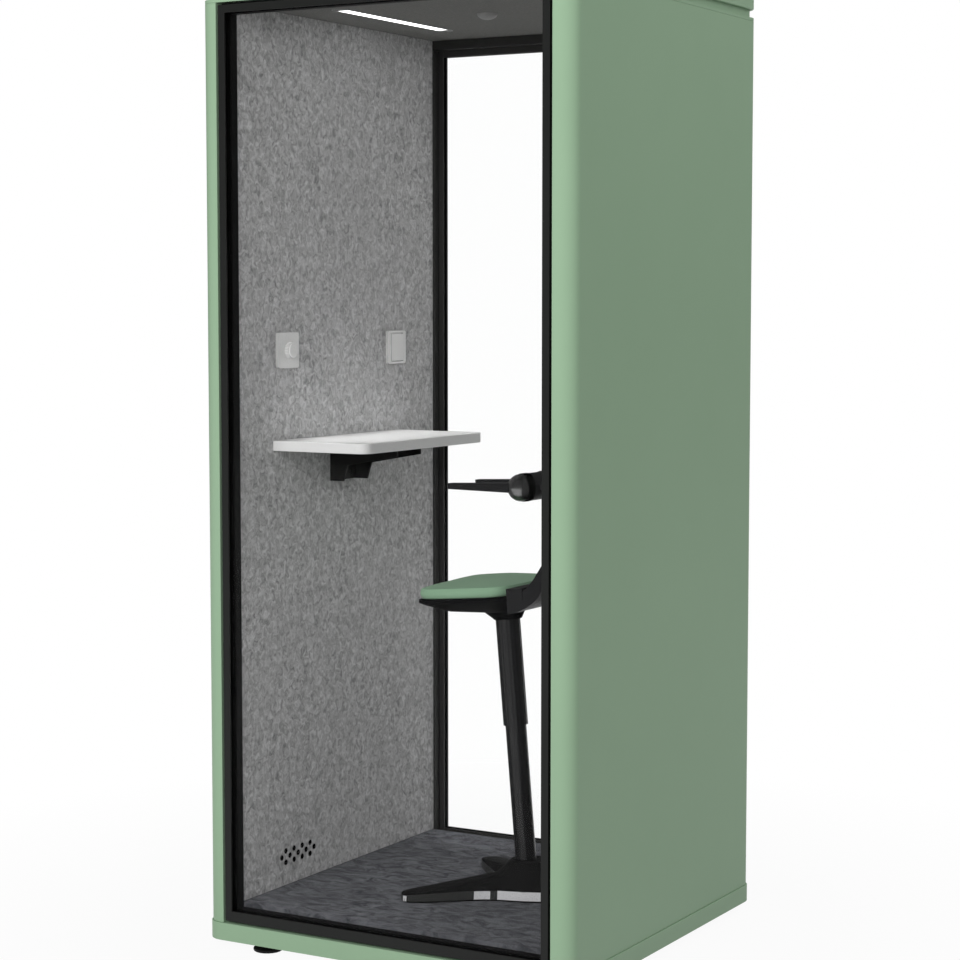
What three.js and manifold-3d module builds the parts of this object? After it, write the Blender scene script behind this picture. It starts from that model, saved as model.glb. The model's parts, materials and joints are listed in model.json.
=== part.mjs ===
// Acoustic office pod for one person: a rounded steel shell on a plinth, a fixed window in front, a glazed
// door at the back, felt lined walls, a standing desk on a wall bracket and a telescopic perching stool.
// Millimetres, +Z up. X runs across the glazed faces, Y from the window to the door, Z = 0 is the floor.
import * as THREE from 'three';
import { mergeVertices } from 'three/addons/utils/BufferGeometryUtils.js';
import Module from 'manifold-3d';

const wasm = await Module();
wasm.setup();

// Clearances
const SEAT = 0.3; // between two pieces that bear on each other
const RUN = 0.5; // round a piece that turns or slides
const SHADOW = 6; // black joint round the window and the door

// Shell and base
const POD_WIDTH = 980;
const POD_DEPTH = 984;
const POD_HEIGHT = 2300;
const CORNER_RADIUS = 40;
const FOOT_CLEARANCE = 20;
const PLINTH_HEIGHT = 42;
const PLINTH_OUTSET = 3;
const PLINTH_RAIL = 90; // width of the plinth's channel
const SHEET = 3; // steel sheet of the plinth, the roof and the walls
const SHELL_STILE = 49.5; // strip of shell beside the glazing
const SHELL_RETURN = 25; // sheet folded back into the opening
const FELT_THICKNESS = 18;
const WALL_THICKNESS = 69.4; // outer skin to felt face
const FLOOR_THICKNESS = 30;
const CARPET_THICKNESS = 12;

// Levelling feet
const FOOT_RADIUS = 35;
const FOOT_PAD = 7;
const FOOT_STEM = 8;
const FOOT_INSET_X = 149; // foot centre from the shell's side
const FOOT_INSET_Y = 42;
const FOOT_BOSS = 18;

// Roof
const COLLAR_RING = 8;
const GAP_HEIGHT = 20; // shadow gap under the roof
const GAP_DEPTH = 10;
const COLLAR_WIDTH = 22;
const ROOF_HEIGHT = 52;
const ROOF_EDGE = 3;
const ROOF_FLANGE = 34;
const CEILING_THICKNESS = 12;
const OUTLET_WIDTH = 90; // air outlets in the collar, behind the gap
const OUTLET_HEIGHT = 10;
const OUTLETS = 6;

// Ceiling services
const LIGHT_X = -271;
const LIGHT_Y = 13.5;
const LIGHT_LENGTH = 523;
const LIGHT_WIDTH = 42;
const LIGHT_WALL = 2;
const LIGHT_DEPTH = 20;
const DIFFUSER_DEPTH = 5;
const SENSOR_RADIUS = 25;
const SENSOR_DROP = 15;
const FAN_X = 240;
const FAN_Y = 200;
const FAN_SIZE = 120;
const FAN_DEPTH = 26;
const FAN_BORE = 56;
const FAN_HUB = 20;
const FAN_SPIDER = 4; // thickness of the motor's arms
const FAN_SHAFT = 4;
const FAN_CAP = 2; // hub's end over the shaft
const FAN_BLADES = 7;
const FAN_BLADE_THICKNESS = 1.6;
const FAN_BLADE_PITCH = 35; // degrees
const SUPPLY_LENGTH = 180;
const SUPPLY_WIDTH = 62;
const SUPPLY_HEIGHT = 34;
const SUPPLY_EAR = 14;
const SUPPLY_X = -120;
const SUPPLY_BACK = 192; // supply's middle from the back of the shell

// Perforations
const HOLE_RADIUS = 6;
const INLET_Y = -207;
const INLET_Z = 175;
const INLET_PITCH = 35;
const INLET_ROW = 14;
const INLET_COUNTS = [4, 5, 4]; // holes in each staggered row
const DUCT_WIDTH = 190; // air duct behind the inlets, down to the plinth
const DUCT_DEPTH = 24;
const DUCT_RISE = 40; // above the middle of the inlets
const GRILLE_PITCH = 18;
const GRILLE_COUNTS = [3, 4, 5, 4, 3];

// Window
const WINDOW_FACE = 18;
const WINDOW_SILL = 24;
const WINDOW_DEPTH = 20;
const WINDOW_LIP = 5;
const GLASS_COVER = 8; // how far the frame covers the glass
const GLASS = 10;
const GASKET = 1.4;
const JOINT_DEPTH = 8; // recessed seal between frame and lining
const JOINT_RECESS = 4;
const LINING_DEPTH = 23.5;

// Door
const DOOR_STILE = 30.5;
const DOOR_RAIL = 35;
const DOOR_SEAL = 3.6;
const DOOR_GROOVE = 14;
const GROOVE_GASKET = 2;
const HINGE_END = 252; // from the leaf's ends to the middles of the outer hinges
const HINGE_LENGTH = 96;
const HINGE_KNUCKLE = 32; // height of the door's middle knuckle
const HINGE_RADIUS = 6.5;
const HINGE_PIN = 3.2;
const HINGE_PLATE = 2;
const HINGE_REACH = 21; // plate length along the edge of the door
const PULL_LENGTH = 320;
const PULL_LEVEL = 1050;
const PULL_BAR = 14;
const PULL_BEND = 5; // inner radius of the bow
const PULL_WIDTH = 8;
const PULL_REACH = 45;
const PULL_ROOM = 5; // from the pull to the lining and felt that it swings past

// Desk and wall fittings
const DESK_DEPTH = 265;
const DESK_FRONT = -303; // Y of the desk's two ends
const DESK_BACK = 258;
const DESK_TOP = 1200;
const DESK_THICKNESS = 25;
const DESK_CORNER = 30;
const BRACKET_Y = 0;
const BRACKET_SPACING = 108;
const BRACKET_SHEET = 5;
const BRACKET_DROP = 88;
const BRACKET_LEG = 40;
const BRACKET_SLANT = 13; // how far the leg widens up to the arm
const BRACKET_ROOT = 47; // depth of the arm beside the leg
const BRACKET_NOSE = 21;
const BRACKET_SETBACK = 67; // nose to desk edge
const PLATE_SIZE = 86;
const PLATE_THICKNESS = 9;
const PLATE_CORNER = 7;
const DIMMER_Y = -246;
const DIMMER_Z = 1416;
const KNOB_RADIUS = 20;
const KNOB_HEIGHT = 15;
const KNOB_SPINDLE = 4;
const KNOB_SEAT = 4; // depth of the spindle's socket in the plate
const SWITCH_Y = 246;
const SWITCH_Z = 1415;
const ROCKER_WIDTH = 56;
const ROCKER_HEIGHT = 70;
const ROCKER_DEPTH = 7;
const ROCKER_POCKET = 6;
const ROCKER_RUN = 1.4; // room round the paddle for its tilt

// Stool, about the centre of its base on the carpet
const STOOL_X = 136;
const STOOL_Y = -35;
const STOOL_LEAN = 5; // degrees towards the desk
const BASE_REACH = 309; // middle to the end of a front leg
const BASE_TAIL = 250; // middle to the end of the leg behind
const BASE_SPREAD = 42.3; // degrees, each front leg from the line ahead
const BASE_ROOT = 117; // where a leg leaves the hub
const BASE_LEG = 44; // half widths of a leg at the hub, before its narrow end and at its tip
const BASE_SHOULDER = 33;
const BASE_TIP = 18;
const BASE_TOE = 45; // length of a leg's narrow end
const BASE_WAIST = 87; // middle to the edge between two legs
const BASE_EDGE = 27; // height of the edge round the hub and at the tips
const BASE_TIP_EDGE = 20;
const BASE_CROWN = 55; // where the legs run into the hub
const BASE_HEIGHT = 86;
const BASE_HUB = 74;
const BASE_HUB_TOP = 42;
const COLUMN_RADIUS = 25.5;
const COLUMN_FOOT = 30; // level of the column's end inside the hub
const COLUMN_TOP = 498;
const SLEEVE_RADIUS = 30;
const SLEEVE_BOTTOM = 413;
const SLEEVE_TOP = 698;
const SLEEVE_FLUTES = 20;
const FLUTE_DEPTH = 1.2;
const SEAT_CENTRE = -47.5; // seat's middle from the column, along X
const SEAT_LENGTH = 261;
const SEAT_WIDTH = 320;
const SHELL_NECK = 670;
const SHELL_TOP = 735;
const SHELL_EDGE = 8;
const SHELL_TUCK = 12; // how far the underside draws in below the rim
const PAD_EDGE = 25;
const PAD_CROWN = 18;
const PAD_TUCK = 5; // how far the pad's sides draw in at the bottom
const PAD_SETBACK = 3; // shell rim beyond the pad
const SPINE_ROOT = 145; // half width where it leaves the shell
const SPINE_NECK = 38; // half width at the back roll
const SPINE_THICKNESS = 14;
const SPINE_FOOT = 30; // flat stretch behind the shell
const SPINE_HEEL = 26; // extra depth behind and below the root
const SPINE_STEP = 42; // block behind the pad, along X
const SPINE_STEP_RISE = 20; // from the shell's top to the block's top
const SPINE_BACK = 96; // how far it stands behind the roll
const SPINE_CURL = 16;
const ROLL_X = 108;
const ROLL_LEVEL = 986;
const ROLL_RADIUS = 33;
const ROLL_LENGTH = 108;
const ROLL_BEND = 28; // degrees that each end of the roll turns forward
const ROLL_AXLE = 9;
const ROLL_AXLE_REACH = 16;
const ARM_REACH = 202;
const ARM_RISE = 14;
const ARM_WIDTH = 22;
const ARM_TIP = 14;
const ARM_ROOT = 24;
const LEVER_LENGTH = 105;
const LEVER_RADIUS = 4;
const LEVER_PADDLE = 13;
const LEVER_DROP = 24; // lever's middle below the shell's top
const LEVER_X = 10;
const LEVER_START = 100; // where the lever pivots inside the shell, along Y
const LEVER_LIFT = 6; // degrees

// Levels and half sizes that follow from the driving sizes
const PLINTH_TOP = FOOT_CLEARANCE + PLINTH_HEIGHT;
const ROOF_BASE = POD_HEIGHT - ROOF_HEIGHT;
const NECK_BASE = ROOF_BASE - GAP_HEIGHT;
const WALL_TOP = NECK_BASE - COLLAR_RING;
const FLOOR_TOP = PLINTH_TOP + FLOOR_THICKNESS;
const CARPET_TOP = FLOOR_TOP + CARPET_THICKNESS;
const CEILING = WALL_TOP + SEAT;
const CEILING_TOP = CEILING + CEILING_THICKNESS;
const HALF_X = POD_WIDTH / 2;
const HALF_Y = POD_DEPTH / 2;
const OPEN_X = HALF_X - SHELL_STILE; // half width of the shell's openings
const FELT_X = HALF_X - WALL_THICKNESS;
const FELT_BACK = FELT_X + FELT_THICKNESS;
const LEAF_X = OPEN_X - SHADOW; // half width of window frame and door
const LEAF_BASE = PLINTH_TOP + SHADOW;
const LEAF_TOP = WALL_TOP - SHADOW;
const HINGE_LEVELS = [LEAF_BASE + HINGE_END, (LEAF_BASE + LEAF_TOP) / 2, LEAF_TOP - HINGE_END];
const VIEW_X = LEAF_X - WINDOW_FACE; // clear opening inside the frames
const VIEW_BASE = LEAF_BASE + WINDOW_SILL;
const VIEW_TOP = LEAF_TOP - WINDOW_FACE;
const JOINT_Y = HALF_Y - WINDOW_DEPTH; // planes of the window's parts, as distances from the middle
const LINING_Y = JOINT_Y - JOINT_DEPTH;
const CABIN_Y = LINING_Y - LINING_DEPTH; // half length of the lined cabin
const DOOR_INNER = LINING_Y + DOOR_SEAL + SEAT;
const DOOR_DEPTH = HALF_Y - DOOR_INNER;
const DOOR_MIDDLE = DOOR_INNER + DOOR_DEPTH / 2;
const LEVER_LEVEL = SHELL_TOP - LEVER_DROP;

const RADIANS = Math.PI / 180;
const UP = new THREE.Vector3(0, 0, 1);
const ROUND = 20; // sides of small round pieces

// Materials
const paint = (color, roughness, metalness = 0) =>
  new THREE.MeshStandardMaterial({ color, roughness, metalness });
const GREEN = paint(0x9bb29b, 0.5);
const BLACK = paint(0x1e1f1e, 0.45, 0.3);
const RUBBER = paint(0x0c0c0c, 0.8);
const CLEAR = new THREE.MeshStandardMaterial({ color: 0xf4f8f7, roughness: 0.02, transparent: true, opacity: 0.2 });
const FELT = paint(0x787878, 0.95);
const WOOL = paint(0xb9a66a, 1);
const CARPET = paint(0x4b4c52, 1);
const BOARD = paint(0xb58f5f, 0.7);
const CEILING_FELT = paint(0x565656, 0.95);
const WHITE = paint(0xdedfdc, 0.4);
const GREY = paint(0xb2b2b0, 0.4);
const ALUMINIUM = paint(0xb8babb, 0.35, 0.9);
const GLOW = new THREE.MeshStandardMaterial({ color: 0xffffff, emissive: 0xffffff, roughness: 0.4 });
const PLASTIC = paint(0x242425, 0.5);
const UPHOLSTERY = paint(0x7f9f80, 0.85);

// Solids for cutting and joining
function solid(geometry) {
  const bare = geometry.index ? geometry.toNonIndexed() : geometry.clone();
  for (const name of Object.keys(bare.attributes)) if (name !== 'position') bare.deleteAttribute(name);
  const merged = mergeVertices(bare, 1e-4);
  return new wasm.Manifold(new wasm.Mesh({
    numProp: 3,
    vertProperties: new Float32Array(merged.attributes.position.array),
    triVerts: new Uint32Array(merged.index.array),
  }));
}

function geometryOf(body) {
  const mesh = body.getMesh();
  const geometry = new THREE.BufferGeometry();
  geometry.setAttribute('position', new THREE.BufferAttribute(new Float32Array(mesh.vertProperties), 3));
  geometry.setIndex(new THREE.BufferAttribute(new Uint32Array(mesh.triVerts), 1));
  geometry.computeVertexNormals();
  return geometry;
}

const join = (first, ...rest) => geometryOf(rest.reduce((body, g) => body.add(solid(g)), solid(first)));
const cut = (first, ...rest) => geometryOf(rest.reduce((body, g) => body.subtract(solid(g)), solid(first)));

// Outlines
function rectangle(x0, y0, x1, y1, radius = 0) {
  const outline = new THREE.Shape();
  if (radius === 0) {
    return outline.moveTo(x0, y0).lineTo(x1, y0).lineTo(x1, y1).lineTo(x0, y1).closePath();
  }
  const quarter = Math.PI / 2;
  outline.moveTo(x0 + radius, y0).lineTo(x1 - radius, y0);
  outline.absarc(x1 - radius, y0 + radius, radius, -quarter, 0);
  outline.lineTo(x1, y1 - radius).absarc(x1 - radius, y1 - radius, radius, 0, quarter);
  outline.lineTo(x0 + radius, y1).absarc(x0 + radius, y1 - radius, radius, quarter, 2 * quarter);
  return outline.lineTo(x0, y0 + radius).absarc(x0 + radius, y0 + radius, radius, 2 * quarter, 3 * quarter);
}

const centred = (halfX, halfY, radius = 0) => rectangle(-halfX, -halfY, halfX, halfY, radius);

function polygon(...points) {
  return new THREE.Shape(points.map(([x, y]) => new THREE.Vector2(x, y)));
}

function withHole(outline, hole) {
  outline.holes.push(hole);
  return outline;
}

// Extrusions along each axis. The outline lies in the plane across that axis.
const extruded = (outline, depth, curveSegments) =>
  new THREE.ExtrudeGeometry(outline, { depth, bevelEnabled: false, curveSegments });

const alongZ = (outline, z0, z1, curveSegments = 4) =>
  extruded(outline, z1 - z0, curveSegments).translate(0, 0, z0);

const TO_Y = new THREE.Matrix4().makeRotationX(Math.PI / 2); // outline in X and Z
const alongY = (outline, y0, y1, curveSegments = 4) =>
  extruded(outline, y1 - y0, curveSegments).applyMatrix4(TO_Y).translate(0, y1, 0);

const TO_X = new THREE.Matrix4().makeBasis( // outline in Y and Z
  new THREE.Vector3(0, 1, 0), new THREE.Vector3(0, 0, 1), new THREE.Vector3(1, 0, 0));
const alongX = (outline, x0, x1, curveSegments = 4) =>
  extruded(outline, x1 - x0, curveSegments).applyMatrix4(TO_X).translate(x0, 0, 0);

const block = (x0, y0, z0, x1, y1, z1) => alongZ(rectangle(x0, y0, x1, y1), z0, z1);

// A turned piece about Z from radius and level pairs
function turned(points, sides = ROUND) {
  return new THREE.LatheGeometry(points.map(([r, z]) => new THREE.Vector2(r, z)), sides).rotateX(Math.PI / 2);
}

const rod = (radius, z0, z1, sides = ROUND) => turned([[0, z0], [radius, z0], [radius, z1], [0, z1]], sides);
const rodAlongY = (radius, y0, y1, sides = ROUND) => rod(radius, -y1, -y0, sides).rotateX(Math.PI / 2);
const rodAlongX = (radius, x0, x1, sides = ROUND) => rod(radius, x0, x1, sides).rotateY(Math.PI / 2);

// A skin through rings of equal point count, closed by a fan at each end
function loft(rings) {
  const count = rings[0].length;
  const middle = (ring) => ring.reduce((sum, p) => sum.add(p), new THREE.Vector3()).divideScalar(count);
  const points = [...rings.flat(), middle(rings[0]), middle(rings.at(-1))];
  const index = [];
  for (let i = 0; i < count; i += 1) {
    const next = (i + 1) % count;
    for (let level = 0; level + 1 < rings.length; level += 1) {
      const a = level * count;
      const b = a + count;
      index.push(a + i, a + next, b + next, a + i, b + next, b + i);
    }
    const last = (rings.length - 1) * count;
    index.push(points.length - 2, next, i, points.length - 1, last + i, last + next);
  }
  const geometry = new THREE.BufferGeometry().setFromPoints(points).setIndex(index);
  geometry.computeVertexNormals();
  return geometry;
}

// Staggered rows of hole centres
function staggered(counts, pitch, row) {
  return counts.flatMap((count, level) => Array.from({ length: count }, (_, i) =>
    [(i - (count - 1) / 2) * pitch, (level - (counts.length - 1) / 2) * row]));
}

const pod = new THREE.Group();

function add(name, geometry, material, parent = pod) {
  const mesh = new THREE.Mesh(geometry, material);
  mesh.name = name;
  parent.add(mesh);
  return mesh;
}

// Plinth: a rounded channel frame, open below, with a threaded boss over each foot
function buildPlinth() {
  const wide = HALF_X + PLINTH_OUTSET;
  const deep = HALF_Y + PLINTH_OUTSET;
  const frame = alongZ(
    withHole(centred(wide, deep, CORNER_RADIUS + PLINTH_OUTSET), centred(wide - PLINTH_RAIL, deep - PLINTH_RAIL)),
    FOOT_CLEARANCE, PLINTH_TOP);
  const hollow = alongZ(
    withHole(
      centred(wide - SHEET, deep - SHEET, CORNER_RADIUS + PLINTH_OUTSET - SHEET),
      centred(wide - PLINTH_RAIL + SHEET, deep - PLINTH_RAIL + SHEET)),
    FOOT_CLEARANCE - 1, PLINTH_TOP - SHEET);
  const bosses = footCentres().map(([, x, y]) => rod(FOOT_BOSS, FOOT_CLEARANCE, PLINTH_TOP - 1).translate(x, y, 0));
  const threads = footCentres().map(([, x, y]) =>
    rod(FOOT_STEM + SEAT, FOOT_CLEARANCE - 1, PLINTH_TOP - SHEET).translate(x, y, 0));
  const intake = airDuct(PLINTH_TOP - SHEET - 1, PLINTH_TOP + 1).rotateZ(Math.PI).translate(0, 2 * INLET_Y, 0);
  add('plinth_frame', cut(join(cut(frame, hollow), ...bosses), ...threads, intake), GREEN);
}

// Way of the air from under the plinth to the inlets, drawn behind the felt of the right wall
function airDuct(z0, z1) {
  const half = DUCT_WIDTH / 2;
  return block(FELT_BACK, INLET_Y - half, z0, FELT_BACK + DUCT_DEPTH, INLET_Y + half, z1);
}

function footCentres() {
  const x = HALF_X - FOOT_INSET_X;
  const y = HALF_Y - FOOT_INSET_Y;
  return [['front_left', -x, -y], ['front_right', x, -y], ['rear_left', -x, y], ['rear_right', x, y]];
}

// Levelling foot: a domed pad on a stem that runs up inside the plinth's boss
function buildFeet() {
  const profile = [
    [0, 0], [FOOT_RADIUS - 2, 0], [FOOT_RADIUS, 2], [FOOT_RADIUS, FOOT_PAD],
    [FOOT_STEM * 1.6, FOOT_CLEARANCE - SEAT], [FOOT_STEM, FOOT_CLEARANCE - SEAT],
    [FOOT_STEM, PLINTH_TOP - SHEET - SEAT], [0, PLINTH_TOP - SHEET - SEAT],
  ];
  for (const [corner, x, y] of footCentres()) {
    add(`levelling_foot_${corner}`, turned(profile), RUBBER).position.set(x, y, 0);
  }
}

// Floor board and carpet between the walls
function buildFloor() {
  const x = FELT_BACK - SEAT;
  const y = CABIN_Y - SEAT;
  add('floor_panel', block(-x, -y, PLINTH_TOP + SEAT, x, y, FLOOR_TOP), BOARD);
  add('carpet', block(-x, -y, FLOOR_TOP + SEAT, x, y, CARPET_TOP), CARPET);
}

// Outer skin of the right wall: one sheet folded round both corners and back into the openings
function skinOutline() {
  const quarter = Math.PI / 2;
  const bendX = HALF_X - CORNER_RADIUS;
  const bendY = HALF_Y - CORNER_RADIUS;
  const inside = CORNER_RADIUS - SHEET;
  const outline = new THREE.Shape();
  outline.moveTo(OPEN_X, -HALF_Y + SHELL_RETURN).lineTo(OPEN_X, -HALF_Y).lineTo(bendX, -HALF_Y);
  outline.absarc(bendX, -bendY, CORNER_RADIUS, -quarter, 0);
  outline.absarc(bendX, bendY, CORNER_RADIUS, 0, quarter);
  outline.lineTo(OPEN_X, HALF_Y).lineTo(OPEN_X, HALF_Y - SHELL_RETURN);
  outline.lineTo(OPEN_X + SHEET, HALF_Y - SHELL_RETURN).lineTo(OPEN_X + SHEET, HALF_Y - SHEET);
  outline.lineTo(bendX, HALF_Y - SHEET).absarc(bendX, bendY, inside, quarter, 0, true);
  outline.absarc(bendX, -bendY, inside, 0, -quarter, true);
  outline.lineTo(OPEN_X + SHEET, -HALF_Y + SHEET).lineTo(OPEN_X + SHEET, -HALF_Y + SHELL_RETURN);
  return outline.closePath();
}

// Sound absorbing core that fills the skin and carries the linings and the felt
function coreOutline() {
  const quarter = Math.PI / 2;
  const bendX = HALF_X - CORNER_RADIUS;
  const bendY = HALF_Y - CORNER_RADIUS;
  const radius = CORNER_RADIUS - SHEET - SEAT;
  const returnX = OPEN_X + SHEET + SEAT;
  const returnY = HALF_Y - SHELL_RETURN - SEAT;
  const faceY = HALF_Y - SHEET - SEAT;
  const feltX = FELT_BACK + SEAT;
  const outline = new THREE.Shape();
  outline.moveTo(returnX, -faceY).lineTo(bendX, -faceY);
  outline.absarc(bendX, -bendY, radius, -quarter, 0);
  outline.absarc(bendX, bendY, radius, 0, quarter);
  outline.lineTo(returnX, faceY).lineTo(returnX, returnY).lineTo(OPEN_X, returnY);
  outline.lineTo(OPEN_X, CABIN_Y).lineTo(feltX, CABIN_Y).lineTo(feltX, -CABIN_Y).lineTo(OPEN_X, -CABIN_Y);
  return outline.lineTo(OPEN_X, -returnY).lineTo(returnX, -returnY).closePath();
}

// Felt lining board of the right wall
function feltBoard() {
  const y = CABIN_Y - SEAT;
  return block(FELT_X, -y, CARPET_TOP + SEAT, FELT_BACK, y, CEILING - SEAT);
}

function buildWalls() {
  const inlets = staggered(INLET_COUNTS, INLET_PITCH, INLET_ROW).map(([y, z]) =>
    rodAlongX(HOLE_RADIUS, FELT_X - 1, FELT_BACK + 1, 10).translate(0, INLET_Y + y, INLET_Z + z));
  const duct = airDuct(PLINTH_TOP - 1, INLET_Z + DUCT_RISE);
  for (const [side, sign] of [['left', -1], ['right', 1]]) {
    const filling = alongZ(coreOutline(), PLINTH_TOP + SEAT, WALL_TOP);
    const felt = side === 'left' ? cut(feltBoard(), ...inlets) : feltBoard();
    const core = side === 'left' ? cut(filling, duct) : filling;
    add(`${side}_wall_skin`, alongZ(skinOutline(), PLINTH_TOP + SEAT, WALL_TOP), GREEN).scale.x = sign;
    add(`${side}_wall_core`, core, WOOL).scale.x = sign;
    add(`${side}_felt_panel`, felt, FELT).scale.x = sign;
  }
}

// Collar that ties the walls together: a ring flush with the shell and a set-back neck with air outlets
function buildCollar() {
  const clearX = HALF_X - COLLAR_WIDTH;
  const clearY = HALF_Y - COLLAR_WIDTH;
  const neckRadius = CORNER_RADIUS - GAP_DEPTH;
  const inner = () => centred(clearX, clearY, Math.max(CORNER_RADIUS - COLLAR_WIDTH, 1));
  const ring = alongZ(withHole(centred(HALF_X, HALF_Y, CORNER_RADIUS), inner()), WALL_TOP + SEAT, NECK_BASE);
  const neck = alongZ(
    withHole(centred(HALF_X - GAP_DEPTH, HALF_Y - GAP_DEPTH, neckRadius), inner()), WALL_TOP + SEAT, ROOF_BASE - SEAT);
  const pitch = (2 * clearX) / OUTLETS;
  const middle = (NECK_BASE + ROOF_BASE) / 2;
  const outlets = Array.from({ length: OUTLETS }, (_, i) => {
    const x = (i - (OUTLETS - 1) / 2) * pitch;
    return block(
      x - OUTLET_WIDTH / 2, clearY - 1, middle - OUTLET_HEIGHT / 2,
      x + OUTLET_WIDTH / 2, HALF_Y, middle + OUTLET_HEIGHT / 2);
  });
  add('roof_collar', cut(join(ring, neck), ...outlets), GREEN);
}

// Roof cap: a deep tray turned over, with soft edges and a flange that sits on the neck
function buildRoof() {
  const bevel = { bevelThickness: ROOF_EDGE, bevelSize: ROOF_EDGE, bevelOffset: -ROOF_EDGE, bevelSegments: 2 };
  const body = new THREE.ExtrudeGeometry(
    centred(HALF_X, HALF_Y, CORNER_RADIUS), { depth: ROOF_HEIGHT - 2 * ROOF_EDGE, curveSegments: 4, ...bevel });
  body.translate(0, 0, ROOF_BASE + ROOF_EDGE);
  const hollow = alongZ(
    centred(HALF_X - SHEET, HALF_Y - SHEET, CORNER_RADIUS - SHEET), ROOF_BASE + SHEET, POD_HEIGHT - SHEET);
  const mouth = alongZ(
    centred(HALF_X - ROOF_FLANGE, HALF_Y - ROOF_FLANGE), ROOF_BASE - 1, ROOF_BASE + SHEET + 1);
  add('roof_cap', cut(body, hollow, mouth), GREEN);
}

function stadium(length, width) {
  return rectangle(-width / 2, -length / 2, width / 2, length / 2, width / 2 - 0.01);
}

// Ceiling board with the light's slot and a grille of holes under the fan
function buildCeiling() {
  const x = HALF_X - COLLAR_WIDTH - SEAT;
  const y = HALF_Y - COLLAR_WIDTH - SEAT;
  const corner = Math.max(CORNER_RADIUS - COLLAR_WIDTH, 1);
  const board = alongZ(centred(x, y, corner), CEILING, CEILING_TOP);
  const slot = alongZ(stadium(LIGHT_LENGTH, LIGHT_WIDTH), CEILING - 1, CEILING_TOP + 1).translate(LIGHT_X, LIGHT_Y, 0);
  const row = (GRILLE_PITCH * Math.sqrt(3)) / 2;
  const holes = staggered(GRILLE_COUNTS, GRILLE_PITCH, row).map(([dx, dy]) =>
    rod(HOLE_RADIUS, CEILING - 1, CEILING_TOP + 1, 8).translate(FAN_X + dx, FAN_Y + dy, 0));
  add('ceiling_panel', cut(board, slot, ...holes), CEILING_FELT);
}

// Recessed light: an aluminium channel and the diffuser that closes it
function buildLight() {
  const length = LIGHT_LENGTH - 2 * SEAT;
  const width = LIGHT_WIDTH - 2 * SEAT;
  const room = LIGHT_WALL * 2;
  const channel = alongZ(stadium(length, width), CEILING, CEILING + LIGHT_DEPTH);
  const hollow = alongZ(stadium(length - room, width - room), CEILING - 1, CEILING + LIGHT_DEPTH - LIGHT_WALL);
  const ledge = alongZ(
    withHole(stadium(length - 1, width - 1), stadium(length - room * 2, width - room * 2)),
    CEILING + DIFFUSER_DEPTH + SEAT, CEILING + DIFFUSER_DEPTH + SEAT + LIGHT_WALL);
  const gap = room + 2 * SEAT;
  const diffuser = alongZ(stadium(length - gap, width - gap), CEILING, CEILING + DIFFUSER_DEPTH);
  add('light_channel', join(cut(channel, hollow), ledge), ALUMINIUM).position.set(LIGHT_X, LIGHT_Y, 0);
  add('light_diffuser', diffuser, GLOW).position.set(LIGHT_X, LIGHT_Y, 0);
}

// Presence sensor: a shallow dome under the middle of the ceiling
function buildSensor() {
  const steps = 6;
  const dome = Array.from({ length: steps + 1 }, (_, i) => {
    const angle = (i / steps) * 90 * RADIANS;
    return [SENSOR_RADIUS * Math.sin(angle), -SENSOR_DROP * Math.cos(angle)];
  });
  dome[0][0] = 0;
  add('presence_sensor', turned([...dome, [0, 0]]), GREY).position.set(0, 0, CEILING - SEAT);
}

// Exhaust fan on the ceiling board: a square housing with a spider and shaft, and a bladed rotor
function buildFan() {
  const base = CEILING_TOP + SEAT;
  const bore = new THREE.Path().absarc(0, 0, FAN_BORE, 0, Math.PI * 2);
  const half = FAN_SIZE / 2;
  const frame = alongZ(withHole(centred(half, half), bore), base, base + FAN_DEPTH, 16);
  const armEnd = FAN_BORE + 1;
  const arms = [15, 75, 135].map((turn) =>
    block(-armEnd, -FAN_SPIDER / 2, base + 0.5, armEnd, FAN_SPIDER / 2, base + FAN_SPIDER - 0.5)
      .rotateZ(turn * RADIANS));
  const motor = rod(FAN_HUB, base, base + FAN_SPIDER);
  const shaft = rod(FAN_SHAFT, base, base + FAN_DEPTH - FAN_CAP - RUN);
  add('fan_housing', join(frame, ...arms, motor, shaft), PLASTIC).position.set(FAN_X, FAN_Y, 0);

  const low = base + FAN_SPIDER + RUN;
  const high = base + FAN_DEPTH;
  const reach = FAN_BORE - 2;
  const middle = (low + high) / 2;
  const chord = (high - low - 3) / Math.sin(FAN_BLADE_PITCH * RADIANS);
  const blades = Array.from({ length: FAN_BLADES }, (_, i) => {
    const blade = block(
      FAN_HUB - 1.5, -chord / 2, -FAN_BLADE_THICKNESS / 2, reach - 1, chord / 2, FAN_BLADE_THICKNESS / 2);
    blade.rotateX(FAN_BLADE_PITCH * RADIANS).translate(0, 0, middle);
    return blade.rotateZ((i / FAN_BLADES) * Math.PI * 2);
  });
  const sweep = solid(rod(reach, low, high, 32));
  const hub = join(rod(FAN_HUB, low, high), ...blades);
  const rotor = cut(geometryOf(solid(hub).intersect(sweep)), rod(FAN_SHAFT + RUN, low - 1, high - FAN_CAP));
  add('fan_rotor', rotor, PLASTIC).position.set(FAN_X, FAN_Y, 0);
}

// Power supply for light and fan: a box with a screw ear at each end
function buildSupply() {
  const base = CEILING_TOP + SEAT;
  const half = SUPPLY_LENGTH / 2;
  const top = base + SUPPLY_HEIGHT;
  const ear = base + SHEET;
  const profile = polygon(
    [-half - SUPPLY_EAR, base], [half + SUPPLY_EAR, base], [half + SUPPLY_EAR, ear], [half, ear],
    [half, top], [-half, top], [-half, ear], [-half - SUPPLY_EAR, ear]);
  const box = alongY(profile, -SUPPLY_WIDTH / 2, SUPPLY_WIDTH / 2);
  add('power_supply', box, ALUMINIUM).position.set(SUPPLY_X, HALF_Y - SUPPLY_BACK, 0);
}

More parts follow.
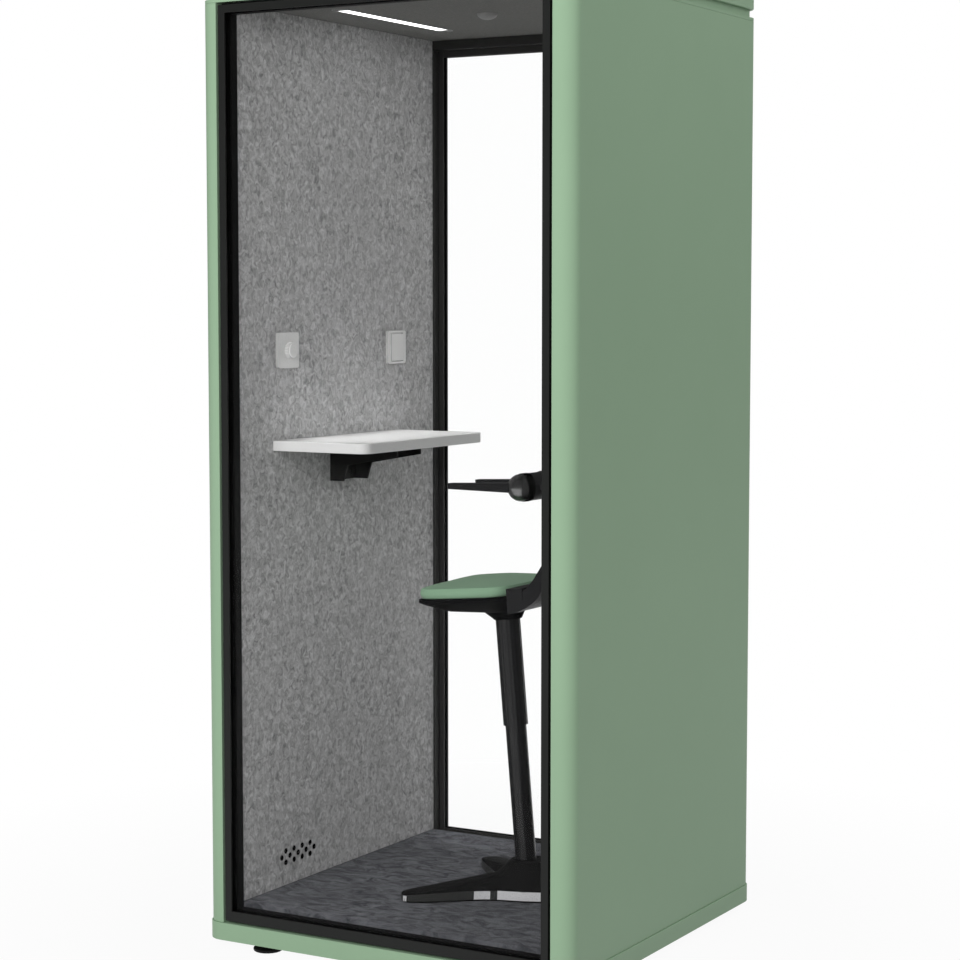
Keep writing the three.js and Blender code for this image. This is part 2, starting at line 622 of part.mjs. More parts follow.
// Rectangle in the plane of the glazing, grown by a margin on every side
const pane = (halfX, base, top, margin = 0) =>
  rectangle(-halfX - margin, base - margin, halfX + margin, top + margin);

// Fixed window: slim frame with a rebate, glass between two rubber strips, recessed joint and lining
function buildWindow() {
  const face = -HALF_Y;
  const cover = GLASS_COVER;
  const outer = () => pane(LEAF_X, LEAF_BASE, LEAF_TOP);
  const view = (margin) => pane(VIEW_X, VIEW_BASE, VIEW_TOP, margin);
  const lip = alongY(withHole(outer(), view(0)), face, face + WINDOW_LIP);
  const web = alongY(withHole(outer(), view(cover)), face, face + WINDOW_DEPTH);
  add('window_frame', join(lip, web), BLACK);

  const gasketFront = face + WINDOW_LIP + SEAT;
  const glassFront = gasketFront + GASKET + SEAT;
  const glassBack = glassFront + GLASS;
  const edge = cover - SEAT;
  add('window_gasket', alongY(withHole(view(edge), view(1)), gasketFront, gasketFront + GASKET), RUBBER);
  add('window_glass', alongY(view(edge), glassFront, glassBack), CLEAR);

  const recess = () => view(JOINT_RECESS);
  const strip = alongY(withHole(view(edge), recess()), glassBack + SEAT, -LINING_Y - SEAT);
  const joint = alongY(withHole(pane(LEAF_X, LEAF_BASE, LEAF_TOP, -2), recess()), -JOINT_Y + SEAT, -LINING_Y - SEAT);
  add('window_joint', join(strip, joint), RUBBER);
  add('window_lining', alongY(liningOutline(), -LINING_Y, -CABIN_Y), BLACK);
}

// Lining frame of a glazed face, seated on the wall cores
function liningOutline() {
  const outer = rectangle(-OPEN_X + SEAT, PLINTH_TOP + SEAT, OPEN_X - SEAT, WALL_TOP);
  return withHole(outer, pane(VIEW_X, VIEW_BASE, VIEW_TOP));
}

// Door: jamb lining and seal on the pod, and a leaf of grooved stiles and rails round the glass
function buildDoor() {
  add('door_lining', alongY(liningOutline(), CABIN_Y, LINING_Y), BLACK);
  const sealRing = withHole(pane(VIEW_X, VIEW_BASE, VIEW_TOP, WINDOW_FACE - 3), pane(VIEW_X, VIEW_BASE, VIEW_TOP, 3));
  add('door_seal', alongY(sealRing, LINING_Y + SEAT, LINING_Y + DOOR_SEAL), RUBBER);

  const innerX = LEAF_X - DOOR_STILE;
  const innerBase = LEAF_BASE + DOOR_RAIL;
  const innerTop = LEAF_TOP - DOOR_RAIL;
  const slotHalf = GLASS / 2 + GROOVE_GASKET + 2 * SEAT;
  const slot = alongY(
    pane(innerX, innerBase, innerTop, DOOR_GROOVE), DOOR_MIDDLE - slotHalf, DOOR_MIDDLE + slotHalf);
  const railX = innerX - SEAT;
  const members = {
    door_stile_hinge: block(-LEAF_X, DOOR_INNER, LEAF_BASE, -innerX, HALF_Y, LEAF_TOP),
    door_stile_pull: block(innerX, DOOR_INNER, LEAF_BASE, LEAF_X, HALF_Y, LEAF_TOP),
    door_rail_bottom: block(-railX, DOOR_INNER, LEAF_BASE, railX, HALF_Y, innerBase),
    door_rail_top: block(-railX, DOOR_INNER, innerTop, railX, HALF_Y, LEAF_TOP),
  };
  for (const [name, bar] of Object.entries(members)) add(name, cut(bar, slot), BLACK);

  const packing = slotHalf - SEAT;
  const glassMargin = DOOR_GROOVE - SEAT - GROOVE_GASKET - SEAT;
  const gasket = alongY(
    withHole(pane(innerX, innerBase, innerTop, DOOR_GROOVE - SEAT), pane(innerX, innerBase, innerTop, 1)),
    DOOR_MIDDLE - packing, DOOR_MIDDLE + packing);
  const bed = GLASS / 2 + SEAT;
  const pocket = alongY(
    pane(innerX, innerBase, innerTop, glassMargin + SEAT), DOOR_MIDDLE - bed, DOOR_MIDDLE + bed);
  const glass = alongY(
    pane(innerX, innerBase, innerTop, glassMargin), DOOR_MIDDLE - GLASS / 2, DOOR_MIDDLE + GLASS / 2);
  add('door_gasket', cut(gasket, pocket), RUBBER);
  add('door_glass', glass, CLEAR);
}

// Butt hinges: the barrel stands outside the face, the plates lie in the shadow joint
function buildHinges() {
  const axisX = -(OPEN_X + LEAF_X) / 2;
  const axisY = HALF_Y + HINGE_RADIUS + RUN;
  const half = HINGE_LENGTH / 2;
  const knuckle = HINGE_KNUCKLE / 2;
  const plateY = HALF_Y - HINGE_REACH;
  const jambPlate = [-OPEN_X + SEAT, -OPEN_X + SEAT + HINGE_PLATE];
  const doorPlate = [-LEAF_X - SEAT - HINGE_PLATE, -LEAF_X - SEAT];
  const barrel = (radius, z0, z1) => rod(radius, z0, z1, 16).translate(axisX, axisY, 0);
  HINGE_LEVELS.forEach((level, i) => {
    const jamb = join(
      cut(
        block(jambPlate[0], plateY, -half, jambPlate[1], axisY, half),
        barrel(HINGE_RADIUS + RUN, -knuckle - RUN, knuckle + RUN)),
      barrel(HINGE_RADIUS, -half, -knuckle - RUN),
      barrel(HINGE_RADIUS, knuckle + RUN, half),
      barrel(HINGE_PIN, -half, half));
    const leaf = cut(
      join(
        cut(
          block(doorPlate[0], plateY, -half, doorPlate[1], axisY, half),
          barrel(HINGE_RADIUS + RUN, -half - 1, -knuckle),
          barrel(HINGE_RADIUS + RUN, knuckle, half + 1)),
        barrel(HINGE_RADIUS, -knuckle, knuckle)),
      barrel(HINGE_PIN + RUN, -half - 1, half + 1));
    add(`hinge_${i + 1}_jamb`, jamb, BLACK).position.z = level;
    add(`hinge_${i + 1}_leaf`, leaf, BLACK).position.z = level;
  });
}

// Pull handle: a flat bar bent into a bow, outside and inside the pull stile
function buildPulls() {
  const half = PULL_LENGTH / 2;
  const bow = (reach) => {
    const outline = rectangle(-reach, -half, reach, half, PULL_BAR + PULL_BEND);
    const inside = rectangle(
      -reach + PULL_BAR, -half + PULL_BAR, reach - PULL_BAR, half - PULL_BAR, PULL_BEND);
    const bar = alongX(withHole(outline, inside), -PULL_WIDTH / 2, PULL_WIDTH / 2, 3);
    return cut(bar, block(-PULL_WIDTH, -reach - 1, -half - 1, PULL_WIDTH, 0, half + 1));
  };
  const x = Math.min(FELT_X, VIEW_X) - PULL_ROOM - PULL_WIDTH / 2;
  add('door_pull_outside', bow(PULL_REACH), BLACK).position.set(x, HALF_Y + SEAT, PULL_LEVEL);
  const inside = add('door_pull_inside', bow(PULL_REACH), BLACK);
  inside.position.set(x, DOOR_INNER - SEAT, PULL_LEVEL);
  inside.rotation.z = Math.PI;
}

// Standing desk on the left wall: a rounded board on a welded bracket of two tapered gussets
function buildDesk() {
  const wall = -FELT_X + SEAT;
  const edge = wall + DESK_DEPTH;
  const underside = DESK_TOP - DESK_THICKNESS;
  const corner = DESK_CORNER;
  const outline = new THREE.Shape();
  outline.moveTo(wall, DESK_FRONT).lineTo(edge - corner, DESK_FRONT);
  outline.absarc(edge - corner, DESK_FRONT + corner, corner, -Math.PI / 2, 0);
  outline.lineTo(edge, DESK_BACK - corner).absarc(edge - corner, DESK_BACK - corner, corner, 0, Math.PI / 2);
  outline.lineTo(wall, DESK_BACK).closePath();
  add('desk_top', alongZ(outline, underside, DESK_TOP), WHITE);

  const top = underside - SEAT;
  const nose = edge - BRACKET_SETBACK;
  const gusset = polygon(
    [wall, top], [wall, top - BRACKET_DROP], [wall + BRACKET_LEG, top - BRACKET_DROP],
    [wall + BRACKET_LEG + BRACKET_SLANT, top - BRACKET_ROOT], [nose, top - BRACKET_NOSE], [nose, top]);
  const sheet = BRACKET_SHEET / 2;
  const half = BRACKET_SPACING / 2;
  const gussets = [-half, half].map((y) => alongY(gusset, BRACKET_Y + y - sheet, BRACKET_Y + y + sheet));
  const low = BRACKET_Y - half - sheet;
  const high = BRACKET_Y + half + sheet;
  const wallPlate = block(wall, low, top - BRACKET_DROP, wall + BRACKET_SHEET, high, top);
  const topPlate = block(wall, low, top - BRACKET_SHEET, nose, high, top);
  add('desk_bracket', join(wallPlate, topPlate, ...gussets), BLACK);
}

// Wall plates on the left felt: a rotary control and a paddle switch
function buildControls() {
  const face = -FELT_X + SEAT;
  const half = PLATE_SIZE / 2;
  const plate = (y, z) =>
    alongX(rectangle(y - half, z - half, y + half, z + half, PLATE_CORNER), face, face + PLATE_THICKNESS, 4);
  const front = face + PLATE_THICKNESS;
  const socket = rodAlongX(KNOB_SPINDLE + RUN, front - KNOB_SEAT, front + 1).translate(0, DIMMER_Y, DIMMER_Z);
  add('control_plate', cut(plate(DIMMER_Y, DIMMER_Z), socket), GREY);
  const knob = turned([
    [0, -KNOB_SEAT + SEAT], [KNOB_SPINDLE, -KNOB_SEAT + SEAT], [KNOB_SPINDLE, SEAT], [KNOB_RADIUS, SEAT],
    [KNOB_RADIUS - 1.5, KNOB_HEIGHT - 2], [KNOB_RADIUS - 4, KNOB_HEIGHT], [0, KNOB_HEIGHT],
  ]).rotateY(Math.PI / 2);
  add('control_knob', knob, WHITE).position.set(front, DIMMER_Y, DIMMER_Z);

  const wide = ROCKER_WIDTH / 2;
  const tall = ROCKER_HEIGHT / 2;
  const room = ROCKER_RUN;
  const pocket = alongX(
    rectangle(SWITCH_Y - wide - room, SWITCH_Z - tall - room, SWITCH_Y + wide + room, SWITCH_Z + tall + room),
    front - ROCKER_POCKET, front + 1);
  add('switch_plate', cut(plate(SWITCH_Y, SWITCH_Z), pocket), GREY);
  const rise = ROCKER_DEPTH - ROCKER_POCKET;
  const tip = ROCKER_POCKET - 3;
  const paddle = polygon( // X and Z, with a keel that rocks on the pocket's floor
    [-ROCKER_POCKET + SEAT, -1.5], [-ROCKER_POCKET + SEAT, 1.5], [-tip, tall], [rise, tall], [rise, -tall], [-tip, -tall]);
  add('switch_rocker', alongY(paddle, -wide, wide), GREY).position.set(front, SWITCH_Y, SWITCH_Z);
}

// A closed smooth ring through its key points, with equal steps between them
function smoothRing(points, steps = 3) {
  const curve = new THREE.CatmullRomCurve3(points, true, 'centripetal');
  const count = points.length * steps;
  return Array.from({ length: count }, (_, i) => curve.getPoint(i / count));
}

// Stool base: a low casting of two front legs and one behind, rising to a hub with the column's socket
function buildStoolBase(stool, lean) {
  const legs = [[0, BASE_TAIL], [180 - BASE_SPREAD, BASE_REACH], [180 + BASE_SPREAD, BASE_REACH]];
  const waists = legs.map(([turn], i) => (turn + (i + 1 < legs.length ? legs[i + 1][0] : 360)) / 2);
  const spot = (turn, along, side, level) =>
    new THREE.Vector3(along, side, level).applyAxisAngle(UP, turn * RADIANS);
  const outline = (inset, tip, edge) => smoothRing(legs.flatMap(([turn, reach], i) => {
    const middle = (tip + edge) / 2;
    const stations = [
      [BASE_ROOT, BASE_LEG, edge], [reach - BASE_TOE, BASE_SHOULDER, middle], [reach - inset, BASE_TIP, tip],
    ];
    const near = stations.map(([along, half, level]) => spot(turn, along, inset - half, level));
    const far = stations.map(([along, half, level]) => spot(turn, along, half - inset, level));
    return [...near, ...far.reverse(), spot(waists[i], BASE_WAIST - inset, 0, edge)];
  }));
  const hub = (radius, level) => smoothRing(legs.flatMap(([turn], i) =>
    [turn - 24, turn - 14, turn - 6, turn + 6, turn + 14, turn + 24, waists[i]].map((a) => spot(a, radius, 0, level))));
  const casting = loft([
    outline(3, SEAT, SEAT), outline(0, 4, 4), outline(0.5, BASE_TIP_EDGE - 2, BASE_EDGE - 2),
    outline(2.5, BASE_TIP_EDGE, BASE_EDGE), hub(BASE_HUB, BASE_CROWN), hub(BASE_HUB_TOP, BASE_HEIGHT),
  ]);
  const socket = rod(COLUMN_RADIUS + SEAT, COLUMN_FOOT - SEAT, COLUMN_TOP).applyMatrix4(lean);
  add('stool_base', cut(casting, socket), PLASTIC, stool);
}

// Fluted outer tube of the telescopic column
function sleeveOutline() {
  const steps = SLEEVE_FLUTES * 4;
  const points = Array.from({ length: steps }, (_, i) => {
    const angle = (i / steps) * Math.PI * 2;
    const radius = SLEEVE_RADIUS - (FLUTE_DEPTH / 2) * (1 - Math.cos(angle * SLEEVE_FLUTES));
    return new THREE.Vector2(radius * Math.cos(angle), radius * Math.sin(angle));
  });
  return withHole(new THREE.Shape(points), new THREE.Path().absarc(0, 0, COLUMN_RADIUS + RUN, 0, Math.PI * 2));
}

function buildColumn(upper) {
  add('stool_column', rod(COLUMN_RADIUS, COLUMN_FOOT, COLUMN_TOP), PLASTIC, upper);
  add('stool_sleeve', alongZ(sleeveOutline(), SLEEVE_BOTTOM, SLEEVE_TOP, 12), PLASTIC, upper);
}

// Seat outline in plan: a soft rectangle, as a superellipse
function seatRing(inset, level, count = 48) {
  const power = 2 / 5;
  const soft = (value) => Math.sign(value) * Math.abs(value) ** power;
  return Array.from({ length: count }, (_, i) => {
    const angle = (i / count) * Math.PI * 2;
    return new THREE.Vector3(
      SEAT_CENTRE + (SEAT_LENGTH / 2 - inset) * soft(Math.cos(angle)),
      (SEAT_WIDTH / 2 - inset) * soft(Math.sin(angle)), level);
  });
}

const neckRing = (radius, level, count = 48) => Array.from({ length: count }, (_, i) => {
  const angle = (i / count) * Math.PI * 2;
  return new THREE.Vector3(radius * Math.cos(angle), radius * Math.sin(angle), level);
});

// Seat shell: a dished plate that flares out of the column, with sockets for the sleeve and the lever
function buildSeatShell(upper) {
  const neck = SLEEVE_RADIUS + 6;
  const rim = SHELL_TOP - SHELL_EDGE;
  const belly = (SHELL_NECK + rim) / 2;
  const flare = (share, level) => {
    const goal = seatRing(SHELL_TUCK, level);
    return neckRing(neck, level).map((p, i) => p.lerp(goal[i], share));
  };
  const dish = loft([
    neckRing(neck - 2, SHELL_NECK), neckRing(neck, SHELL_NECK + 3), flare(0.25, SHELL_NECK + 12),
    flare(0.65, belly), seatRing(SHELL_TUCK, rim - 7), seatRing(0, rim), seatRing(0, SHELL_TOP - SEAT),
  ]);
  const socket = rod(SLEEVE_RADIUS + RUN, SHELL_NECK - 1, SLEEVE_TOP + RUN, 32);
  add('seat_shell', cut(dish, socket, leverSlot()), PLASTIC, upper);
}

// Slot for the height lever, widening upwards to the rim so that the lever can lift
function leverSlot() {
  const room = LEVER_RADIUS + RUN;
  const start = LEVER_START - RUN;
  const run = SEAT_WIDTH - start;
  const climb = run * Math.tan((LEVER_LIFT + 0.7) * RADIANS);
  const profile = polygon([start, -room], [start + run, -room], [start + run, room + climb], [start, room]);
  return alongX(profile, -room, room).translate(LEVER_X, 0, LEVER_LEVEL);
}

// Seat pad: drawn in at the bottom, full at the sides, crowned on top
function buildSeatPad(upper) {
  const top = SHELL_TOP + PAD_EDGE;
  const side = PAD_SETBACK;
  const rings = [
    seatRing(side + PAD_TUCK, SHELL_TOP), seatRing(side + 1, SHELL_TOP + PAD_EDGE * 0.3),
    seatRing(side, SHELL_TOP + PAD_EDGE * 0.6), seatRing(side + 3, top),
  ];
  const crown = [0.88, 0.72, 0.54, 0.36, 0.18];
  for (const share of crown) {
    const ring = seatRing(side + 3, top + PAD_CROWN * (1 - share ** 2));
    rings.push(ring.map((p) => new THREE.Vector3(SEAT_CENTRE + (p.x - SEAT_CENTRE) * share, p.y * share, p.z)));
  }
  add('seat_pad', loft(rings), UPHOLSTERY, upper);
}

// Back spine: a bent plate, wide where it leaves the shell, that curls forward into the back roll
function buildSpine(upper) {
  const heel = SEAT_CENTRE + SEAT_LENGTH / 2 + SEAT;
  const rim = SHELL_TOP - SPINE_THICKNESS / 2 - SEAT;
  const rise = ROLL_LEVEL - rim;
  const back = ROLL_X + SPINE_BACK;
  const width = (share) => SPINE_ROOT + (SPINE_NECK - SPINE_ROOT) * share;
  const path = new THREE.CatmullRomCurve3([ // X, half width and Z of each station
    new THREE.Vector3(heel, width(0), rim),
    new THREE.Vector3(heel + SPINE_FOOT, width(0), rim + rise * 0.03),
    new THREE.Vector3(heel + SPINE_FOOT * 1.9, width(0.08), rim + rise * 0.09),
    new THREE.Vector3(back - SPINE_BACK * 0.35, width(0.42), rim + rise * 0.31),
    new THREE.Vector3(back - 7, width(0.7), rim + rise * 0.53),
    new THREE.Vector3(back, width(0.9), rim + rise * 0.74),
    new THREE.Vector3(back - SPINE_CURL, width(0.97), rim + rise * 0.91),
    new THREE.Vector3(ROLL_X + SPINE_BACK * 0.58, width(1), ROLL_LEVEL - 4),
    new THREE.Vector3(ROLL_X + 8, width(1), ROLL_LEVEL),
  ]);
  const half = SPINE_THICKNESS / 2;
  const sides = 20;
  const rings = Array.from({ length: sides + 1 }, (_, i) => {
    const spot = path.getPoint(i / sides);
    const along = i === 0 ? new THREE.Vector3(1, 0, 0) : path.getTangent(i / sides).setY(0).normalize();
    const fade = Math.max(0, 1 - (i / sides / 0.7) ** 2);
    const corner = (side, lift) =>
      new THREE.Vector3(spot.x - lift * along.z, side * spot.y, spot.z + lift * along.x);
    const below = -half - SPINE_HEEL * fade;
    return [corner(1, below), corner(1, half), corner(-1, half), corner(-1, below)];
  });
  const plate = loft(rings);
  const wide = width(0) - SEAT;
  const step = block(heel, -wide, rim, heel + SPINE_STEP, wide, SHELL_TOP + SPINE_STEP_RISE);
  const axle = () => rodAlongY(ROLL_AXLE, -ROLL_AXLE_REACH, ROLL_AXLE_REACH, 16);
  const axles = [-1, 1].map((side) => axle().applyMatrix4(rollEnd(side)));
  add('back_spine', join(plate, step, backRoll(), ...axles), PLASTIC, upper);
}

// Place and turn of the roll's far end, or of its near end with side -1
function rollEnd(side = 1) {
  const bend = ROLL_BEND * RADIANS;
  const bow = ROLL_LENGTH / 2 / Math.sin(bend);
  const endX = ROLL_X - bow * (1 - Math.cos(bend));
  const place = new THREE.Matrix4().makeTranslation(endX, (side * ROLL_LENGTH) / 2, ROLL_LEVEL);
  return place.multiply(new THREE.Matrix4().makeRotationZ(side * bend));
}

// Back roll: a round bar whose ends bend forward
function backRoll() {
  const bend = ROLL_BEND * RADIANS;
  const bow = ROLL_LENGTH / 2 / Math.sin(bend);
  const steps = 6;
  const sides = 24;
  return loft(Array.from({ length: steps + 1 }, (_, level) => {
    const turn = bend * ((2 * level) / steps - 1);
    const middle = new THREE.Vector3(ROLL_X - bow * (1 - Math.cos(turn)), bow * Math.sin(turn), ROLL_LEVEL);
    const across = new THREE.Vector3(Math.cos(turn), Math.sin(turn), 0).multiplyScalar(ROLL_RADIUS);
    return Array.from({ length: sides }, (_unused, i) => {
      const angle = (i / sides) * Math.PI * 2;
      const point = middle.clone().addScaledVector(UP, ROLL_RADIUS * Math.cos(angle));
      return point.addScaledVector(across, Math.sin(angle));
    });
  }));
}

// Flip-up arm: a domed cap that turns on the roll's axle, with a slim tapered prong
function buildArms(upper) {
  const start = ROLL_LENGTH / 2 + RUN;
  const steps = 6;
  const dome = Array.from({ length: steps + 1 }, (_, i) => {
    const angle = (i / steps) * 90 * RADIANS;
    return [ROLL_RADIUS * Math.cos(angle), RUN + ROLL_RADIUS * Math.sin(angle)];
  });
  dome[steps][0] = 0;
  const cap = turned([[0, RUN], ...dome], 24).rotateX(-Math.PI / 2).applyMatrix4(rollEnd());
  const root = new THREE.Vector3().setFromMatrixPosition(rollEnd()).x;
  const tip = ROLL_X - ARM_REACH;
  const profile = polygon(
    [root, ROLL_LEVEL - ARM_ROOT / 2], [root, ROLL_LEVEL + ARM_ROOT / 2],
    [tip, ROLL_LEVEL + ARM_RISE + ARM_TIP / 2], [tip, ROLL_LEVEL + ARM_RISE - ARM_TIP / 2]);
  const prong = alongY(profile, start, start + ARM_WIDTH);
  const bearing = rodAlongY(ROLL_AXLE + RUN, -1, ROLL_AXLE_REACH + RUN, 16).applyMatrix4(rollEnd());
  const arm = cut(join(cap, prong), bearing);
  add('arm_far', arm, PLASTIC, upper);
  add('arm_near', arm.clone(), PLASTIC, upper).scale.y = -1;
}

// Height lever: a rod from the slot in the shell to a flat paddle on the far side
function buildLever(upper) {
  const start = LEVER_START;
  const end = start + LEVER_LENGTH;
  const stem = rodAlongY(LEVER_RADIUS, start, end, 12);
  const paddle = alongZ(
    rectangle(-LEVER_PADDLE, end - 2 * LEVER_PADDLE, LEVER_PADDLE, end + LEVER_PADDLE, LEVER_PADDLE / 2),
    -LEVER_RADIUS + 1, LEVER_RADIUS - 1, 4);
  add('height_lever', join(stem, paddle), PLASTIC, upper).position.set(LEVER_X, 0, LEVER_LEVEL);
}

function buildStool() {
  const stool = new THREE.Group();
  stool.position.set(STOOL_X, STOOL_Y, CARPET_TOP);
  const upper = new THREE.Group();
  upper.rotation.y = -STOOL_LEAN * RADIANS;
  upper.updateMatrix();
  stool.add(upper);
  pod.add(stool);
  buildStoolBase(stool, upper.matrix);
  buildColumn(upper);
  buildSeatShell(upper);
  buildSeatPad(upper);
  buildSpine(upper);
  buildArms(upper);
  buildLever(upper);
}

buildPlinth();
buildFeet();
buildFloor();
buildWalls();
buildCollar();
buildRoof();
buildCeiling();
buildLight();
buildSensor();
buildFan();
buildSupply();
buildWindow();
buildDoor();
buildHinges();
buildPulls();
buildDesk();
buildControls();
buildStool();

// The origin lies under the middle of the whole outline, which the outside pull lengthens on one side
pod.position.y = -(PULL_REACH + SEAT - PLINTH_OUTSET) / 2;
const part = new THREE.Group();
part.add(pod);

export default part;
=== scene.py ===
# %% [markdown]
# # An acoustic office pod for one person
# The pod is a cabin of sheet steel, glass and felt with a standing desk and a perching stool in it. The solid
# model gives every piece its true size and place. This lesson dresses those solids: it rounds their edges, pads
# the seat, lays the carpet and gives each surface the finish that the real one has.

# %% Load the frame
import json
import math

import bmesh
import bpy
import numpy as np
from mathutils import Matrix, Vector
from mathutils.bvhtree import BVHTree

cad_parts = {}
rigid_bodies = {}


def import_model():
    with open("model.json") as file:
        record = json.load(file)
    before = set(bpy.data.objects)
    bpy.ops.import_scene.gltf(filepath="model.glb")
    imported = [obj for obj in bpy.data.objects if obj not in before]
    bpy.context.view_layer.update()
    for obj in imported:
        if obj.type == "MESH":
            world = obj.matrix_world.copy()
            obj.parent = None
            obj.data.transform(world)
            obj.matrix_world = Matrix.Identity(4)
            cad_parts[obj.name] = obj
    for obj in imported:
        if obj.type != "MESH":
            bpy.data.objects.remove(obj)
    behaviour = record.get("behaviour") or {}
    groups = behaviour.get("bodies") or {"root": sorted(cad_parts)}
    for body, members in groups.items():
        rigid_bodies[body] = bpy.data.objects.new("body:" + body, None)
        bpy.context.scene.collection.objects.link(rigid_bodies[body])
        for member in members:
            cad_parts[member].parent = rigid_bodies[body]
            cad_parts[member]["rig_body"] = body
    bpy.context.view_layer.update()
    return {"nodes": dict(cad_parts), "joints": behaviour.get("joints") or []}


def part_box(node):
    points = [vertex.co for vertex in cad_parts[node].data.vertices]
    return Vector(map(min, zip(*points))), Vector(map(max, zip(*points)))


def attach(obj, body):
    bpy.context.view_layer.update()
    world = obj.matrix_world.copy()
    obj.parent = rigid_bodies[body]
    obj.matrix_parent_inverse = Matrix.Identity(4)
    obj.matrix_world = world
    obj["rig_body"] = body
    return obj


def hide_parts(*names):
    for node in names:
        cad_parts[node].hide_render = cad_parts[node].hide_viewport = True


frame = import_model()
solids = frame["nodes"]

# %% [markdown]
# ## The camera
# The photograph was taken at eye height from the front right corner with a long lens. A point on the pod that is
# far from the eye then hardly shrinks, so the lens matters as much as the place. The camera looks down by four
# and a half degrees, which keeps the whole pod in the middle of the frame without shifting the lens.

# %% Camera
camera_data = bpy.data.cameras.new("photo_camera")
camera_data.sensor_width = 36.0
camera_data.lens = 86.498
camera = bpy.data.objects.new("photo_camera", camera_data)
camera.location = (2.7835, -4.86675, 1.538)
camera.rotation_euler = (math.radians(90 - 4.472), 0.0, math.radians(30.061))
bpy.context.scene.collection.objects.link(camera)
bpy.context.scene.camera = camera
print("camera at", tuple(camera.location))

# %% [markdown]
# ## Small tools for node trees
# Every finish below is a tree of shader nodes. Two short helpers keep the trees readable: one adds a node and
# fills or links its inputs in the same line, the other turns a screen colour into the light values that Blender
# works with.

# %% Node helpers
def add_node(tree, kind, inputs=None, **settings):
    node = tree.nodes.new(kind)
    for name, value in settings.items():
        setattr(node, name, value)
    for key, value in (inputs or {}).items():
        if isinstance(value, bpy.types.NodeSocket):
            tree.links.new(value, node.inputs[key])
        else:
            node.inputs[key].default_value = value
    return node


def tone(red, green, blue):
    def light(step):
        share = step / 255
        return share / 12.92 if share <= 0.04045 else ((share + 0.055) / 1.055) ** 2.4
    return (light(red), light(green), light(blue), 1.0)


def open_group(name, inputs, outputs):
    group = bpy.data.node_groups.new(name, "ShaderNodeTree")
    for label, kind, value in inputs:
        socket = group.interface.new_socket(label, in_out="INPUT", socket_type=kind)
        if value is not None:
            socket.default_value = value
    for label, kind in outputs:
        group.interface.new_socket(label, in_out="OUTPUT", socket_type=kind)
    return group, group.nodes.new("NodeGroupInput"), group.nodes.new("NodeGroupOutput")


def place_group(tree, group, **inputs):
    node = tree.nodes.new("ShaderNodeGroup")
    node.node_tree = group
    for label, value in inputs.items():
        label = label.replace("_", " ")
        if isinstance(value, bpy.types.NodeSocket):
            tree.links.new(value, node.inputs[label])
        else:
            node.inputs[label].default_value = value
    return node


print("sage green as light:", tuple(round(v, 3) for v in tone(156, 180, 155)))

# %% [markdown]
# ## The studio
# The pod stands on a plain white floor in soft light. The background has to look pure white without flooding the
# pod with light, so the world shows white only to camera and glass rays, and lights everything else at a
# plain level. The floor is treated the same way, and mirrors see the lit floor but a dim room. Near the pod part of its own shading is left in, so that the
# shadow stays, and further out it fades to white. The lamps only give light: no mirror or pane shows them. A small
# one under the ceiling does the work of the pod's own light strip.

# %% White surroundings
def seen_ray(tree):
    path = add_node(tree, "ShaderNodeLightPath")
    both = add_node(tree, "ShaderNodeMath", {0: path.outputs["Is Camera Ray"], 1: path.outputs["Is Glossy Ray"]},
                    operation="MAXIMUM")
    every = add_node(tree, "ShaderNodeMath", {0: both.outputs[0], 1: path.outputs["Is Transmission Ray"]},
                     operation="MAXIMUM")
    return every.outputs[0]


world = bpy.data.worlds.new("white_studio")
bpy.context.scene.world = world
world.use_nodes = True
sky = world.node_tree
sky.nodes.clear()
ambient = add_node(sky, "ShaderNodeBackground", {"Color": (1.0, 1.0, 1.0, 1.0), "Strength": 0.28})
room = add_node(sky, "ShaderNodeBackground", {"Color": (1.0, 1.0, 1.0, 1.0), "Strength": 0.15})
white = add_node(sky, "ShaderNodeBackground", {"Color": (1.0, 1.0, 1.0, 1.0), "Strength": 1.0})
seen = add_node(sky, "ShaderNodeMixShader", {0: seen_ray(sky), 1: ambient.outputs[0], 2: white.outputs[0]})
mirrored = add_node(sky, "ShaderNodeMath", {0: add_node(sky, "ShaderNodeLightPath").outputs["Glossy Depth"], 1: 0.5},
                    operation="GREATER_THAN")
choice = add_node(sky, "ShaderNodeMixShader", {0: mirrored.outputs[0], 1: seen.outputs[0], 2: room.outputs[0]})
add_node(sky, "ShaderNodeOutputWorld", {0: choice.outputs[0]})
bpy.context.scene.view_settings.view_transform = "Standard"

# %% Floor and lamps
floor_material = bpy.data.materials.new("studio_floor")
floor_material.use_nodes = True
floor_tree = floor_material.node_tree
floor_paint = floor_tree.nodes["Principled BSDF"]
floor_paint.inputs["Roughness"].default_value = 0.9
floor_spots = add_node(floor_tree, "ShaderNodeTexNoise", {"Scale": 3.0, "Detail": 3.0})
floor_tint = add_node(floor_tree, "ShaderNodeMapRange", {0: floor_spots.outputs["Fac"], 3: 0.56, 4: 0.58})
floor_tree.links.new(floor_tint.outputs[0], floor_paint.inputs["Base Color"])
floor_glow = add_node(floor_tree, "ShaderNodeEmission", {"Strength": 1.0})
floor_place = add_node(floor_tree, "ShaderNodeTexCoord").outputs["Object"]
floor_reach = add_node(floor_tree, "ShaderNodeVectorMath", {0: floor_place}, operation="LENGTH")
floor_far = add_node(floor_tree, "ShaderNodeMapRange", {0: floor_reach.outputs["Value"], 1: 0.8, 2: 2.0, 3: 0.945, 4: 1.0})
floor_share = add_node(floor_tree, "ShaderNodeMath", {0: seen_ray(floor_tree), 1: floor_far.outputs[0]},
                       operation="MULTIPLY")
floor_mix = add_node(floor_tree, "ShaderNodeMixShader",
                     {0: floor_share.outputs[0], 1: floor_paint.outputs[0], 2: floor_glow.outputs[0]})
floor_tree.links.new(floor_mix.outputs[0], floor_tree.nodes["Material Output"].inputs["Surface"])

